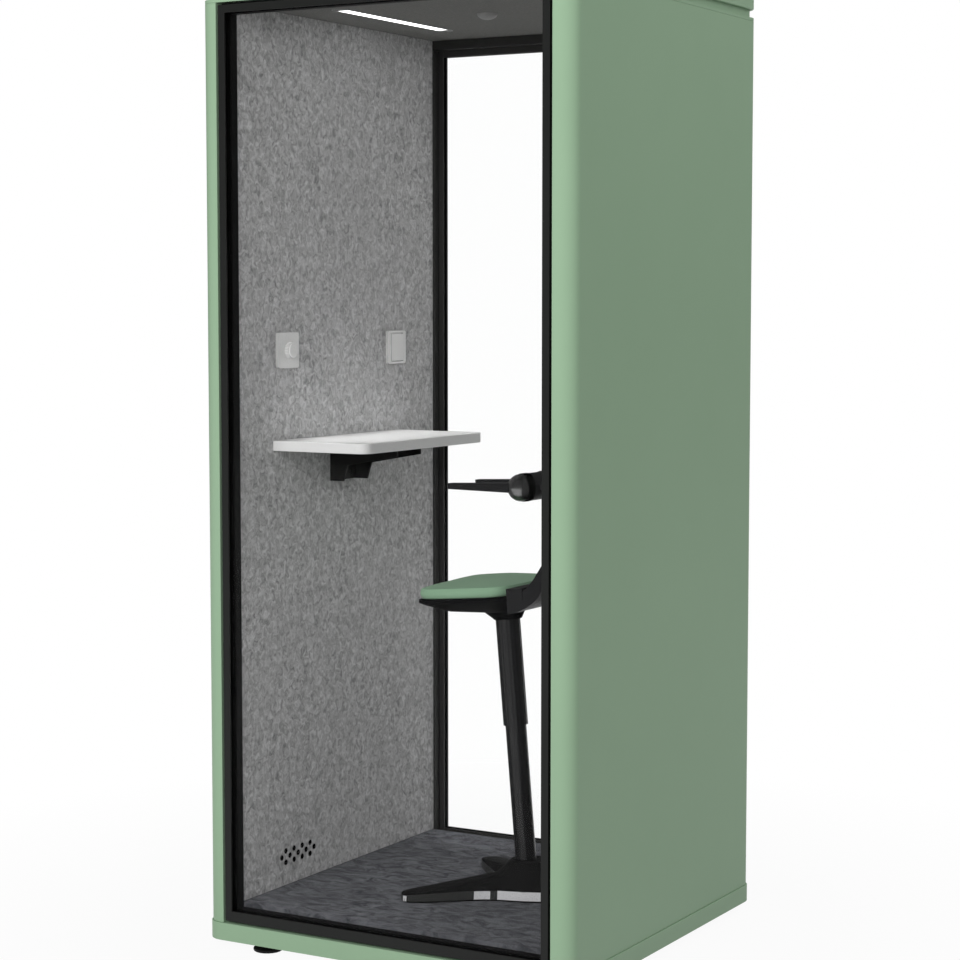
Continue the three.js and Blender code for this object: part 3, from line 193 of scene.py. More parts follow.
floor_mesh = bpy.data.meshes.new("studio_floor")
floor_mesh.from_pydata([(-14, -14, 0), (14, -14, 0), (14, 14, 0), (-14, 14, 0)], [], [(0, 1, 2, 3)])
floor_mesh.materials.append(floor_material)
floor = bpy.data.objects.new("studio_floor", floor_mesh)
bpy.context.scene.collection.objects.link(floor)


def soft_lamp(name, place, target, width, height, power):
    data = bpy.data.lights.new(name, "AREA")
    data.shape = "RECTANGLE"
    data.size, data.size_y, data.energy = width, height, power
    lamp = bpy.data.objects.new(name, data)
    lamp.location = place
    lamp.rotation_euler = (Vector(target) - Vector(place)).to_track_quat("-Z", "Y").to_euler()
    lamp.visible_camera = lamp.visible_glossy = lamp.visible_transmission = False
    bpy.context.scene.collection.objects.link(lamp)
    return lamp


soft_lamp("front_lamp", (0.6, -5.5, 2.8), (0.0, 0.0, 1.2), 4.0, 3.0, 238.0)
soft_lamp("back_lamp", (0.4, 5.0, 2.2), (0.0, 0.0, 1.2), 4.0, 3.0, 125.0)
soft_lamp("side_lamp", (2.6, 0.3, 4.0), (0.49, 0.0, 1.8), 1.5, 1.5, 23.0)
cabin_lamp = soft_lamp("cabin_lamp", (-0.271, -0.008, 2.214), (-0.271, -0.008, 0.0), 0.04, 0.5, 0.75)
cabin_lamp.data.spread = math.radians(17)

# %% [markdown]
# ## Effects that several finishes share
# Powder coat and moulded plastic both have a fine grain and a slow change of tone. Felt, fleece and ceiling board
# are all pressed from fibres of mixed shades. Metal and plastic get a painted highlight along their rounded edges, a
# paler colour where the edges would catch the light. Each of these is made once as a node group, and every material
# sets its own values.

# %% Grain and tone of coated and moulded surfaces
VECTOR, FLOAT, COLOUR = "NodeSocketVector", "NodeSocketFloat", "NodeSocketColor"

surface_grain, grain_in, grain_out = open_group(
    "surface_grain",
    [("Place", VECTOR, None), ("Grain Scale", FLOAT, 900.0), ("Tone Scale", FLOAT, 3.0)],
    [("Height", FLOAT), ("Tone", FLOAT)])
grain_fine = add_node(surface_grain, "ShaderNodeTexNoise",
                      {"Vector": grain_in.outputs[0], "Scale": grain_in.outputs[1], "Detail": 2.0})
grain_slow = add_node(surface_grain, "ShaderNodeTexNoise",
                      {"Vector": grain_in.outputs[0], "Scale": grain_in.outputs[2], "Detail": 4.0})
surface_grain.links.new(grain_fine.outputs["Fac"], grain_out.inputs["Height"])
surface_grain.links.new(grain_slow.outputs["Fac"], grain_out.inputs["Tone"])

# %% Painted highlight along edges
painted_edge_highlight, edge_in, edge_out = open_group(
    "painted_edge_highlight", [("Place", VECTOR, None), ("Amount", FLOAT, 0.3)], [("Mask", FLOAT)])
edge_mark = add_node(painted_edge_highlight, "ShaderNodeAttribute", attribute_name="edge")
edge_break = add_node(painted_edge_highlight, "ShaderNodeTexNoise", {"Vector": edge_in.outputs[0], "Scale": 60.0, "Detail": 3.0})
edge_part = add_node(painted_edge_highlight, "ShaderNodeMapRange", {0: edge_break.outputs["Fac"], 1: 0.3, 2: 0.7})
edge_both = add_node(painted_edge_highlight, "ShaderNodeMath", {0: edge_mark.outputs["Fac"], 1: edge_part.outputs[0]},
                     operation="MULTIPLY")
edge_all = add_node(painted_edge_highlight, "ShaderNodeMath", {0: edge_both.outputs[0], 1: edge_in.outputs[1]},
                    operation="MULTIPLY")
painted_edge_highlight.links.new(edge_all.outputs[0], edge_out.inputs["Mask"])

# %% Fibres of pressed felt
pressed_fibre, fibre_in, fibre_out = open_group(
    "pressed_fibre",
    [("Place", VECTOR, None), ("Fibre Scale", FLOAT, 130.0), ("Upright Stretch", FLOAT, 0.35)],
    [("Fleck", FLOAT), ("Cloud", FLOAT), ("Height", FLOAT)])
stretch = add_node(pressed_fibre, "ShaderNodeCombineXYZ", {0: 1.0, 1: 1.0, 2: fibre_in.outputs[2]})
drawn = add_node(pressed_fibre, "ShaderNodeVectorMath", {0: fibre_in.outputs[0], 1: stretch.outputs[0]},
                 operation="MULTIPLY")
fleck = add_node(pressed_fibre, "ShaderNodeTexNoise",
                 {"Vector": drawn.outputs[0], "Scale": fibre_in.outputs[1], "Detail": 4.0, "Roughness": 0.62,
                  "Distortion": 1.1})
cloud_scale = add_node(pressed_fibre, "ShaderNodeMath", {0: fibre_in.outputs[1], 1: 0.09}, operation="MULTIPLY")
cloud = add_node(pressed_fibre, "ShaderNodeTexNoise",
                 {"Vector": drawn.outputs[0], "Scale": cloud_scale.outputs[0], "Detail": 4.0})
hair_scale = add_node(pressed_fibre, "ShaderNodeMath", {0: fibre_in.outputs[1], 1: 4.0}, operation="MULTIPLY")
hair = add_node(pressed_fibre, "ShaderNodeTexNoise",
                {"Vector": fibre_in.outputs[0], "Scale": hair_scale.outputs[0], "Detail": 3.0})
pressed_fibre.links.new(fleck.outputs["Fac"], fibre_out.inputs["Fleck"])
pressed_fibre.links.new(cloud.outputs["Fac"], fibre_out.inputs["Cloud"])
pressed_fibre.links.new(hair.outputs["Fac"], fibre_out.inputs["Height"])
print("shared effects:", [g.name for g in bpy.data.node_groups])

# %% [markdown]
# ## Finishes
# A finish is a Principled shader with the constant values set on its own sockets, and the groups above feeding
# colour, roughness and bump. Coated steel, moulded plastic, rubber, laminate and metal differ only in their numbers,
# so one maker serves them all. Felt, carpet, seat cloth, glass and the lit diffuser each get their own.

# %% Maker for coated and moulded finishes
def begin(name):
    material = bpy.data.materials.new(name)
    material.use_nodes = True
    tree = material.node_tree
    place = add_node(tree, "ShaderNodeTexCoord").outputs["Object"]
    return material, tree, tree.nodes["Principled BSDF"], place


def blend_colours(tree, share, first, second):
    mix = add_node(tree, "ShaderNodeMix", data_type="RGBA")
    tree.links.new(share, mix.inputs["Factor"])
    for socket, value in ((mix.inputs["A"], first), (mix.inputs["B"], second)):
        if isinstance(value, bpy.types.NodeSocket):
            tree.links.new(value, socket)
        else:
            socket.default_value = value
    return mix.outputs["Result"]


def bump(tree, shader, height, strength, distance):
    node = add_node(tree, "ShaderNodeBump", {"Height": height, "Strength": strength, "Distance": distance})
    tree.links.new(node.outputs[0], shader.inputs["Normal"])


def moulded(name, dark, light, edge, roughness, grain_scale, grain_depth, metallic=0.0, gloss=0.3, edge_highlight_share=0.35,
            bend=1.5):
    material, tree, shader, place = begin(name)
    grain = place_group(tree, surface_grain, Place=place, Grain_Scale=grain_scale, Tone_Scale=3.0)
    # The rim mask lays the paler edge colour on the rounded edges: a painted highlight.
    rim = place_group(tree, painted_edge_highlight, Place=place, Amount=edge_highlight_share)
    body = blend_colours(tree, grain.outputs["Tone"], dark, light)
    tree.links.new(blend_colours(tree, rim.outputs["Mask"], body, edge), shader.inputs["Base Color"])
    shine = add_node(tree, "ShaderNodeMapRange",
                     {0: grain.outputs["Height"], 1: 0.3, 2: 0.7, 3: roughness - 0.05, 4: roughness + 0.05})
    tree.links.new(shine.outputs[0], shader.inputs["Roughness"])
    shader.inputs["Metallic"].default_value = metallic
    shader.inputs["Specular IOR Level"].default_value = gloss
    shader.inputs["IOR"].default_value = bend
    bump(tree, shader, grain.outputs["Height"], 0.25, grain_depth)
    return material


# The third colour of each finish is the painted highlight along its rounded edges.
shell_coat = moulded("shell_coat", tone(148, 177, 147), tone(154, 183, 153), tone(172, 198, 171), 0.45, 1400, 0.0002,
                     gloss=0.2)
frame_coat = moulded("frame_coat", tone(20, 20, 19), tone(26, 26, 25), tone(46, 46, 44), 0.5, 1600, 0.0003, gloss=0.12)
# The coats of the window frame and the door are lighter copies of the black, painted light; the coat of the window
# lining is a deeper copy, painted shade.
front_coat_painted_light = moulded("front_coat_painted_light", tone(28, 29, 28), tone(35, 36, 35), tone(60, 61, 60), 0.45, 1600, 0.0003, gloss=0.2)
lining_coat_painted_shade = moulded("lining_coat_painted_shade", tone(13, 13, 13), tone(18, 18, 18), tone(34, 34, 34), 0.55, 1600, 0.0003, gloss=0.1)
door_coat_painted_light = moulded("door_coat_painted_light", tone(44, 44, 43), tone(51, 51, 50), tone(72, 72, 71), 0.45, 1600, 0.0003, gloss=0.2)
seal_rubber = moulded("seal_rubber", tone(9, 9, 9), tone(13, 13, 13), tone(20, 20, 20), 0.8, 900, 0.0004, gloss=0.05)
desk_laminate = moulded("desk_laminate", tone(226, 226, 225), tone(234, 234, 233), tone(242, 242, 242), 0.34, 2200, 0.0001,
                        gloss=0.5)
plate_plastic = moulded("plate_plastic", tone(240, 240, 239), tone(246, 246, 245), tone(252, 252, 252), 0.4, 1800, 0.0001)
# Painted shade: a darker copy of the plate plastic for the narrow sides that face the lamps.
plate_side_painted_shade = moulded("plate_side_painted_shade", tone(188, 188, 187), tone(195, 195, 194), tone(204, 204, 204), 0.45, 1800, 0.0001)
sensor_plastic = moulded("sensor_plastic", tone(148, 148, 146), tone(158, 158, 156), tone(170, 170, 168), 0.5, 1800, 0.0001)
knob_plastic = moulded("knob_plastic", tone(242, 242, 241), tone(247, 247, 246), tone(252, 252, 252), 0.38, 1800, 0.0001)
stool_plastic = moulded("stool_plastic", tone(31, 31, 32), tone(38, 38, 39), tone(50, 50, 51), 0.46, 1100, 0.0004,
                        gloss=0.1)
arm_plastic = moulded("arm_plastic", tone(30, 30, 31), tone(36, 36, 37), tone(40, 40, 41), 0.42, 1100, 0.0003, gloss=0.1)
tube_plastic = moulded("tube_plastic", tone(17, 17, 18), tone(23, 23, 24), tone(46, 46, 47), 0.28, 1100, 0.0002,
                       gloss=0.4)
shell_plastic = moulded("shell_plastic", tone(12, 12, 13), tone(17, 17, 18), tone(30, 30, 31), 0.6, 1100, 0.0004,
                        gloss=0.03)
cap_plastic = moulded("cap_plastic", tone(10, 10, 10), tone(14, 14, 14), tone(30, 30, 30), 0.24, 1400, 0.0001,
                      gloss=1.0, bend=1.9)
# Painted shade: near-black rings stand for the shade in the groove between each arm's cap and the roll.
painted_groove_shade = moulded("painted_groove_shade", tone(3, 3, 3), tone(5, 5, 5), tone(7, 7, 7), 0.9, 900, 0.0003, gloss=0.0)
# Painted shade and light: the top of the base is a darker copy of its black, the upright edge a paler copy.
base_top_painted_shade = moulded("base_top_painted_shade", tone(20, 20, 20), tone(26, 26, 26), tone(34, 34, 34), 0.6, 1100, 0.0004, gloss=0.06)
base_edge_painted_light = moulded("base_edge_painted_light", tone(48, 49, 48), tone(56, 57, 56), tone(70, 70, 70), 0.35, 1100, 0.0002, gloss=0.3)
foot_plastic = moulded("foot_plastic", tone(14, 14, 14), tone(20, 20, 20), tone(36, 36, 36), 0.55, 1200, 0.0004, gloss=0.15)
satin_metal = moulded("satin_metal", tone(178, 180, 182), tone(190, 192, 194), tone(214, 214, 214), 0.32, 700, 0.0002,
                      metallic=1.0)
# Painted reflection: pale strips on the base's edge stand for the bright window mirrored in it.
painted_reflection_band = moulded("painted_reflection_band", tone(226, 226, 228), tone(236, 236, 238), tone(244, 244, 246), 0.3, 500, 0.0001,
                      metallic=0.25)
screw_steel = moulded("screw_steel", tone(60, 60, 61), tone(74, 74, 75), tone(120, 120, 120), 0.35, 1500, 0.0002,
                      metallic=1.0)
seam_thread = moulded("seam_thread", tone(138, 170, 141), tone(150, 182, 153), tone(156, 186, 158), 0.8, 900, 0.0003)
filmed_ply = moulded("filmed_ply", tone(30, 27, 25), tone(38, 34, 31), tone(52, 46, 40), 0.5, 220, 0.0003)

# %% Felt, fleece and ceiling board
def fibrous(name, deep, middle, pale, fibre_scale, upright, depth, roughness=0.95):
    material, tree, shader, place = begin(name)
    fibre = place_group(tree, pressed_fibre, Place=place, Fibre_Scale=fibre_scale, Upright_Stretch=upright)
    spread = add_node(tree, "ShaderNodeMapRange", {0: fibre.outputs["Fleck"], 1: 0.3, 2: 0.7})
    flecks = blend_colours(tree, spread.outputs[0], deep, pale)
    calm = add_node(tree, "ShaderNodeMapRange", {0: fibre.outputs["Cloud"], 1: 0.3, 2: 0.7, 3: 0.3, 4: 0.5})
    tree.links.new(blend_colours(tree, calm.outputs[0], flecks, middle), shader.inputs["Base Color"])
    shader.inputs["Roughness"].default_value = roughness
    shader.inputs["Specular IOR Level"].default_value = 0.15
    shader.inputs["Sheen Weight"].default_value = 0.08
    bump(tree, shader, fibre.outputs["Height"], 0.5, depth)
    return material


wall_felt = fibrous("wall_felt", tone(100, 100, 100), tone(188, 188, 188), tone(247, 247, 247), 66, 0.9, 0.001)
ceiling_felt = fibrous("ceiling_felt", tone(92, 92, 90), tone(119, 119, 116), tone(142, 142, 138), 190, 1.0, 0.001)
wall_fleece = fibrous("wall_fleece", tone(22, 22, 22), tone(34, 34, 33), tone(48, 48, 47), 90, 1.0, 0.003)

# %% Carpet, seat cloth, glass and light
def carpet_finish():
    material, tree, shader, place = begin("loop_carpet")
    lie = add_node(tree, "ShaderNodeMapping", {"Vector": place, "Rotation": (0.0, 0.0, math.radians(-28)), "Scale": (15.0, 27.0, 15.0)})
    mottle = add_node(tree, "ShaderNodeTexNoise",
                      {"Vector": lie.outputs[0], "Scale": 1.0, "Detail": 7.0, "Roughness": 0.68, "Distortion": 1.6})
    cloud = add_node(tree, "ShaderNodeTexNoise", {"Vector": place, "Scale": 5.0, "Detail": 3.0})
    yarn = add_node(tree, "ShaderNodeTexNoise", {"Vector": place, "Scale": 420.0, "Detail": 2.0})
    near = add_node(tree, "ShaderNodeMapRange", {0: mottle.outputs["Fac"], 1: 0.4, 2: 0.6})
    wide = add_node(tree, "ShaderNodeMapRange", {0: cloud.outputs["Fac"], 1: 0.36, 2: 0.64, 3: 0.0, 4: 0.45})
    fine = add_node(tree, "ShaderNodeMapRange", {0: yarn.outputs["Fac"], 1: 0.3, 2: 0.7, 3: 0.0, 4: 0.4})
    base = blend_colours(tree, near.outputs[0], tone(54, 55, 59), tone(118, 119, 124))
    calm = blend_colours(tree, wide.outputs[0], base, tone(84, 85, 89))
    tree.links.new(blend_colours(tree, fine.outputs[0], calm, tone(88, 89, 93)), shader.inputs["Base Color"])
    shader.inputs["Roughness"].default_value = 1.0
    shader.inputs["Specular IOR Level"].default_value = 0.1
    shader.inputs["Sheen Weight"].default_value = 0.05
    bump(tree, shader, yarn.outputs["Fac"], 0.4, 0.001)
    return material


def seat_cloth_finish():
    material, tree, shader, place = begin("seat_cloth")
    across = add_node(tree, "ShaderNodeTexWave", {"Vector": place, "Scale": 260.0, "Distortion": 0.4},
                      bands_direction="X")
    along = add_node(tree, "ShaderNodeTexWave", {"Vector": place, "Scale": 260.0, "Distortion": 0.4},
                     bands_direction="Y")
    weave = add_node(tree, "ShaderNodeMath", {0: across.outputs["Fac"], 1: along.outputs["Fac"]},
                     operation="MAXIMUM")
    slow = add_node(tree, "ShaderNodeTexNoise", {"Vector": place, "Scale": 9.0, "Detail": 4.0})
    body = blend_colours(tree, slow.outputs["Fac"], tone(130, 164, 135), tone(140, 174, 145))
    threads = add_node(tree, "ShaderNodeMapRange", {0: weave.outputs[0], 3: 0.0, 4: 0.35})
    tree.links.new(blend_colours(tree, threads.outputs[0], body, tone(150, 182, 153)), shader.inputs["Base Color"])
    shader.inputs["Roughness"].default_value = 0.85
    shader.inputs["Specular IOR Level"].default_value = 0.2
    shader.inputs["Sheen Weight"].default_value = 0.05
    bump(tree, shader, weave.outputs[0], 0.3, 0.0005)
    return material


def glass_finish():
    material, tree, shader, place = begin("pane_glass")
    shader.inputs["Base Color"].default_value = (0.996, 0.998, 0.997, 1.0)
    shader.inputs["IOR"].default_value = 1.1
    shader.inputs["Transmission Weight"].default_value = 1.0
    smear = add_node(tree, "ShaderNodeTexNoise", {"Vector": place, "Scale": 2.5, "Detail": 3.0})
    gloss = add_node(tree, "ShaderNodeMapRange", {0: smear.outputs["Fac"], 3: 0.0, 4: 0.012})
    tree.links.new(gloss.outputs[0], shader.inputs["Roughness"])
    path = add_node(tree, "ShaderNodeLightPath")
    through = add_node(tree, "ShaderNodeMath", {0: path.outputs["Is Shadow Ray"], 1: path.outputs["Is Diffuse Ray"]},
                       operation="MAXIMUM")
    clear = add_node(tree, "ShaderNodeBsdfTransparent", {"Color": (0.96, 0.96, 0.96, 1.0)})
    pane = add_node(tree, "ShaderNodeMixShader", {0: through.outputs[0], 1: shader.outputs[0], 2: clear.outputs[0]})
    tree.links.new(pane.outputs[0], tree.nodes["Material Output"].inputs["Surface"])
    return material


def lit_finish():
    material, tree, shader, place = begin("lit_diffuser")
    low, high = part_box("light_diffuser")
    spots = add_node(tree, "ShaderNodeTexWave", {"Vector": place, "Scale": 20.0}, bands_direction="Y")
    glow = add_node(tree, "ShaderNodeMapRange", {0: spots.outputs["Fac"], 3: 0.95, 4: 1.0})
    shift = add_node(tree, "ShaderNodeVectorMath", {0: place, 1: tuple((low + high) / 2)}, operation="SUBTRACT")
    reach = add_node(tree, "ShaderNodeVectorMath", {0: shift.outputs[0]}, operation="ABSOLUTE")
    across = add_node(tree, "ShaderNodeSeparateXYZ", {0: reach.outputs[0]})
    half_width, half_length = (high.x - low.x) / 2, (high.y - low.y) / 2
    narrow = add_node(tree, "ShaderNodeMapRange", {0: across.outputs["X"], 1: half_width * 0.74, 2: half_width * 0.84,
                                                   3: 1.0, 4: 0.0})
    short = add_node(tree, "ShaderNodeMapRange", {0: across.outputs["Y"], 1: half_length - 0.034, 2: half_length - 0.028,
                                                  3: 1.0, 4: 0.0})
    lit = add_node(tree, "ShaderNodeMath", {0: narrow.outputs[0], 1: short.outputs[0]}, operation="MULTIPLY")
    power = add_node(tree, "ShaderNodeMath", {0: glow.outputs[0], 1: lit.outputs[0]}, operation="MULTIPLY")
    tree.links.new(blend_colours(tree, lit.outputs[0], tone(120, 120, 117), tone(240, 240, 240)), shader.inputs["Base Color"])
    tree.links.new(power.outputs[0], shader.inputs["Emission Color"])
    shader.inputs["Emission Strength"].default_value = 3.0
    return material


loop_carpet = carpet_finish()
seat_cloth = seat_cloth_finish()
pane_glass = glass_finish()
lit_diffuser = lit_finish()
print("finishes:", len(bpy.data.materials))

# %% [markdown]
# ## Rounding the solids
# A bent sheet, an extruded frame or a moulding never ends in a perfectly sharp edge: a narrow rounding catches
# the light and tells the eye how thick the piece is. Each solid is copied, its triangles are merged into whole
# faces, and a Bevel rounds every edge that is sharper than 35 degrees. The new narrow faces get a second material
# slot for a moment, which tells them from the old ones, and they are marked so that the finish knows where the
# edges are. Weighted normals then keep the large faces flat and leave the bending to the narrow ones.

# %% Copy, merge and bevel
def settle(obj):
    depsgraph = bpy.context.evaluated_depsgraph_get()
    mesh = bpy.data.meshes.new_from_object(obj.evaluated_get(depsgraph), depsgraph=depsgraph)
    obj.modifiers.clear()
    obj.data = mesh
    return obj


def link_mesh(name, mesh):
    obj = bpy.data.objects.new(name, mesh)
    bpy.context.scene.collection.objects.link(obj)
    return obj


def merged_copy(node):
    mesh = solids[node].data.copy()
    shape = bmesh.new()
    shape.from_mesh(mesh)
    bmesh.ops.remove_doubles(shape, verts=shape.verts, dist=1e-5)
    bmesh.ops.dissolve_limit(shape, angle_limit=math.radians(0.5), verts=shape.verts, edges=shape.edges)
    shape.to_mesh(mesh)
    shape.free()
    mesh.materials.clear()
    return mesh


def smooth(mesh, angle=35):
    mesh.polygons.foreach_set("use_smooth", np.ones(len(mesh.polygons), bool))
    mesh.set_sharp_from_angle(angle=math.radians(angle))


def body_of_node(node):
    return solids[node]["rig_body"]


def finish_node(node, material, rounding, segments=2, reshape=None):
    obj = link_mesh(node + "_finished", merged_copy(node))
    if reshape:
        reshape(obj.data)
    obj.data.materials.append(material)
    obj.data.materials.append(material)
    bevel = obj.modifiers.new("rounded edges", "BEVEL")
    bevel.width = rounding / 1000
    bevel.segments = segments
    bevel.limit_method = "ANGLE"
    bevel.angle_limit = math.radians(35)
    bevel.material = 1
    settle(obj)
    narrow = np.zeros(len(obj.data.polygons), np.int32)
    obj.data.polygons.foreach_get("material_index", narrow)
    obj.data.attributes.new("edge", "FLOAT", "FACE").data.foreach_set("value", narrow.astype(np.float32))
    obj.data.polygons.foreach_set("material_index", np.zeros(len(narrow), np.int32))
    obj.data.materials.pop(index=1)
    smooth(obj.data)
    even = obj.modifiers.new("flat faces", "WEIGHTED_NORMAL")
    even.keep_sharp = True
    settle(obj)
    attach(obj, body_of_node(node))
    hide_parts(node)
    return obj


# %% [markdown]
# ## Shell, frames and linings
# The outside is powder coated steel sheet: plinth, two wrap-round walls, collar and roof. The frames of window and
# door, the linings, the hinges, the pulls and the desk bracket are coated black. The door and its lining carry a
# greyer copy of the black and the window's frame a slightly lighter one, both painted light, and the window's lining
# a deeper copy, painted shade.

# %% Coated steel
GREEN_PIECES = {"plinth_frame": 1.2, "left_wall_skin": 0.8, "right_wall_skin": 0.8, "roof_collar": 0.8, "roof_cap": 0.6}
BLACK_PIECES = {
    "window_frame": (front_coat_painted_light, 0.8), "window_lining": (lining_coat_painted_shade, 0.8), "door_lining": (door_coat_painted_light, 0.8),
    "door_stile_hinge": (door_coat_painted_light, 0.8), "door_stile_pull": (door_coat_painted_light, 0.8), "door_rail_bottom": (door_coat_painted_light, 0.8),
    "door_rail_top": (door_coat_painted_light, 0.8), "desk_bracket": (frame_coat, 0.7), "door_pull_outside": (frame_coat, 1.5),
    "door_pull_inside": (frame_coat, 1.5),
}
for level in (1, 2, 3):
    BLACK_PIECES[f"hinge_{level}_jamb"] = BLACK_PIECES[f"hinge_{level}_leaf"] = (frame_coat, 0.3)
for node, rounding in GREEN_PIECES.items():
    finish_node(node, shell_coat, rounding)
for node, (material, rounding) in BLACK_PIECES.items():
    finish_node(node, material, rounding)
print("coated pieces:", len(GREEN_PIECES) + len(BLACK_PIECES))

# %% [markdown]
# ## Linings, services and fittings
# What sits inside the shell gets its finish in the same way. Glass, seals and the hidden core keep the exact CAD
# faces, because a bevel would add nothing that can be seen, and only their material is replaced. The narrow sides
# of the wall plates, the knob and the rocker carry a darker copy of their plastic: painted shade, so that these sides,
# which face the lamps, look no brighter than the faces.

# %% Fittings
FITTINGS = {
    "left_felt_panel": (wall_felt, 0.8), "right_felt_panel": (wall_felt, 0.8), "ceiling_panel": (ceiling_felt, 0.5),
    "light_channel": (satin_metal, 0.3), "light_diffuser": (lit_diffuser, 0.3), "presence_sensor": (sensor_plastic, 0.3),
    "desk_top": (desk_laminate, 2.0), "control_plate": (plate_plastic, 1.6), "switch_plate": (plate_plastic, 1.6),
    "control_knob": (knob_plastic, 0.8), "switch_rocker": (plate_plastic, 0.8), "fan_housing": (stool_plastic, 0.5),
    "fan_rotor": (stool_plastic, 0.3), "power_supply": (satin_metal, 0.8),
}
for corner in ("front_left", "front_right", "rear_left", "rear_right"):
    FITTINGS["levelling_foot_" + corner] = (foot_plastic, 0.6)
fitted = {node: finish_node(node, material, rounding) for node, (material, rounding) in FITTINGS.items()}
# The narrow sides of plates, knob and rocker take the darker copy: painted shade.
for node in ("control_plate", "control_knob", "switch_plate", "switch_rocker"):
    fitted[node].data.materials.append(plate_side_painted_shade)
    for face in fitted[node].data.polygons:
        face.material_index = int(abs(face.normal.x) < 0.6)

KEPT = {
    "window_glass": pane_glass, "door_glass": pane_glass, "window_gasket": seal_rubber, "window_joint": seal_rubber,
    "door_seal": seal_rubber, "door_gasket": seal_rubber, "left_wall_core": wall_fleece, "right_wall_core": wall_fleece,
    "floor_panel": filmed_ply,
}
for node, material in KEPT.items():
    solids[node].data.materials.clear()
    solids[node].data.materials.append(material)
print("fittings:", len(FITTINGS), "kept solids:", len(KEPT))

# %% [markdown]
# ## The stool
# The stool is moulded in black plastic on a low cast base of three legs. Its solids already have the right form, so
# they only need rounded edges and the fine grain of the mould. The caps on which the arms turn are glossier. The belly
# of the seat shell is drawn up a little round the column, as the photograph shows. The base is matt on top and its
# upright edge smoother. Its top carries a darker copy of the black, painted shade, and its upright edge a paler one,
# painted light.

# %% Moulded stool
swivel = next(j for j in frame["joints"] if j["name"] == "seat_swivel")
pivot, seat_up = Vector(swivel["pos_m"]), Vector(swivel["axis"]).normalized()


def flatter_belly(mesh):
    for point in mesh.vertices:
        level = (point.co - pivot).dot(seat_up)
        if -0.022 < level < -0.014:
            out = point.co - pivot - seat_up * level
            point.co += seat_up * 0.008 - out.normalized() * (out.length - 0.036) * 0.5
        elif -0.004 < level < 0.0005 and (point.co - pivot - seat_up * level).length > 0.05:
            point.co += seat_up * 0.002


STOOL = {"stool_column": (tube_plastic, 0.5), "stool_sleeve": (tube_plastic, 0.4), "back_spine": (stool_plastic, 2.5),
         "height_lever": (stool_plastic, 0.8)}
for node, (material, rounding) in STOOL.items():
    finish_node(node, material, rounding, 3)
arm_joints = {j["child"]: j for j in frame["joints"] if j["name"].startswith("arm_")}
for node, joint in arm_joints.items():
    arm = finish_node(node, arm_plastic, 2.0, 3)
    arm.data.materials.append(cap_plastic)
    for face in arm.data.polygons:
        face.material_index = int((face.center - Vector(joint["pos_m"])).length < 0.036)
finish_node("seat_shell", shell_plastic, 1.5, 3, flatter_belly)
base = finish_node("stool_base", base_top_painted_shade, 0.8)
base.data.materials.append(base_edge_painted_light)
carpet_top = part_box("carpet")[1].z
# Upright faces low on the base take the paler copy, painted light; the rest keep the darker one, painted shade.
for face in base.data.polygons:
    face.material_index = int(abs(face.normal.z) < 0.35 and face.center.z < carpet_top + 0.027)
print("stool pieces:", len(STOOL) + 4, "edge faces:", sum(f.material_index for f in base.data.polygons))

# %% [markdown]
# ## The carpet
# The carpet is a short loop pile on a backing. The backing is the CAD slab, lowered by the height of the pile.
# The loops repeat by the thousand, so a Geometry Nodes tree sets them: a grid of points, moved a little at random,
# with one small loop on each.

# %% Geometry Nodes helpers
def open_tree(name, inputs):
    tree = bpy.data.node_groups.new(name, "GeometryNodeTree")
    keys = {}
    for label, kind in inputs:
        keys[label] = tree.interface.new_socket(label, in_out="INPUT", socket_type=kind).identifier
    tree.interface.new_socket("Geometry", in_out="OUTPUT", socket_type="NodeSocketGeometry")
    return tree, tree.nodes.new("NodeGroupInput"), tree.nodes.new("NodeGroupOutput"), keys


def close_tree(tree, group_in, group_out, instances):
    real = add_node(tree, "GeometryNodeRealizeInstances", {0: instances})
    finish = add_node(tree, "GeometryNodeSetMaterial",
                      {"Geometry": real.outputs[0], "Material": group_in.outputs["Material"]})
    tree.links.new(finish.outputs[0], group_out.inputs[0])


def grow(obj, tree, keys, values):
    modifier = obj.modifiers.new(tree.name, "NODES")
    modifier.node_group = tree
    for label, value in values.items():
        modifier[keys[label]] = value
    return settle(obj)


def template(name, points, faces):
    mesh = bpy.data.meshes.new(name)
    mesh.from_pydata(points, [], faces)
    return link_mesh(name, mesh)


# %% Loop pile
PILE = 0.002
PITCH = 0.0064
backing = link_mesh("carpet_backing", merged_copy("carpet"))
for point in backing.data.vertices:
    if point.co.z > carpet_top - 0.001:
        point.co.z -= PILE * 0.6
backing.data.materials.append(loop_carpet)
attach(backing, "pod")
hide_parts("carpet")

pile_tree, pile_in, pile_out, pile_keys = open_tree("loop_pile", [
    ("Geometry", "NodeSocketGeometry"), ("Loop", "NodeSocketObject"), ("Width", FLOAT), ("Length", FLOAT),
    ("Columns", "NodeSocketInt"), ("Rows", "NodeSocketInt"), ("Jitter", FLOAT), ("Centre", VECTOR),
    ("Seed", "NodeSocketInt"), ("Material", "NodeSocketMaterial")])
pile_grid = add_node(pile_tree, "GeometryNodeMeshGrid", {
    "Size X": pile_in.outputs["Width"], "Size Y": pile_in.outputs["Length"],
    "Vertices X": pile_in.outputs["Columns"], "Vertices Y": pile_in.outputs["Rows"]})
pile_low = add_node(pile_tree, "ShaderNodeVectorMath", {0: (-1, -1, 0), "Scale": pile_in.outputs["Jitter"]},
                    operation="SCALE")
pile_high = add_node(pile_tree, "ShaderNodeVectorMath", {0: (1, 1, 0), "Scale": pile_in.outputs["Jitter"]},
                     operation="SCALE")
pile_stray = add_node(pile_tree, "FunctionNodeRandomValue", {
    0: pile_low.outputs[0], 1: pile_high.outputs[0], "Seed": pile_in.outputs["Seed"]}, data_type="FLOAT_VECTOR")
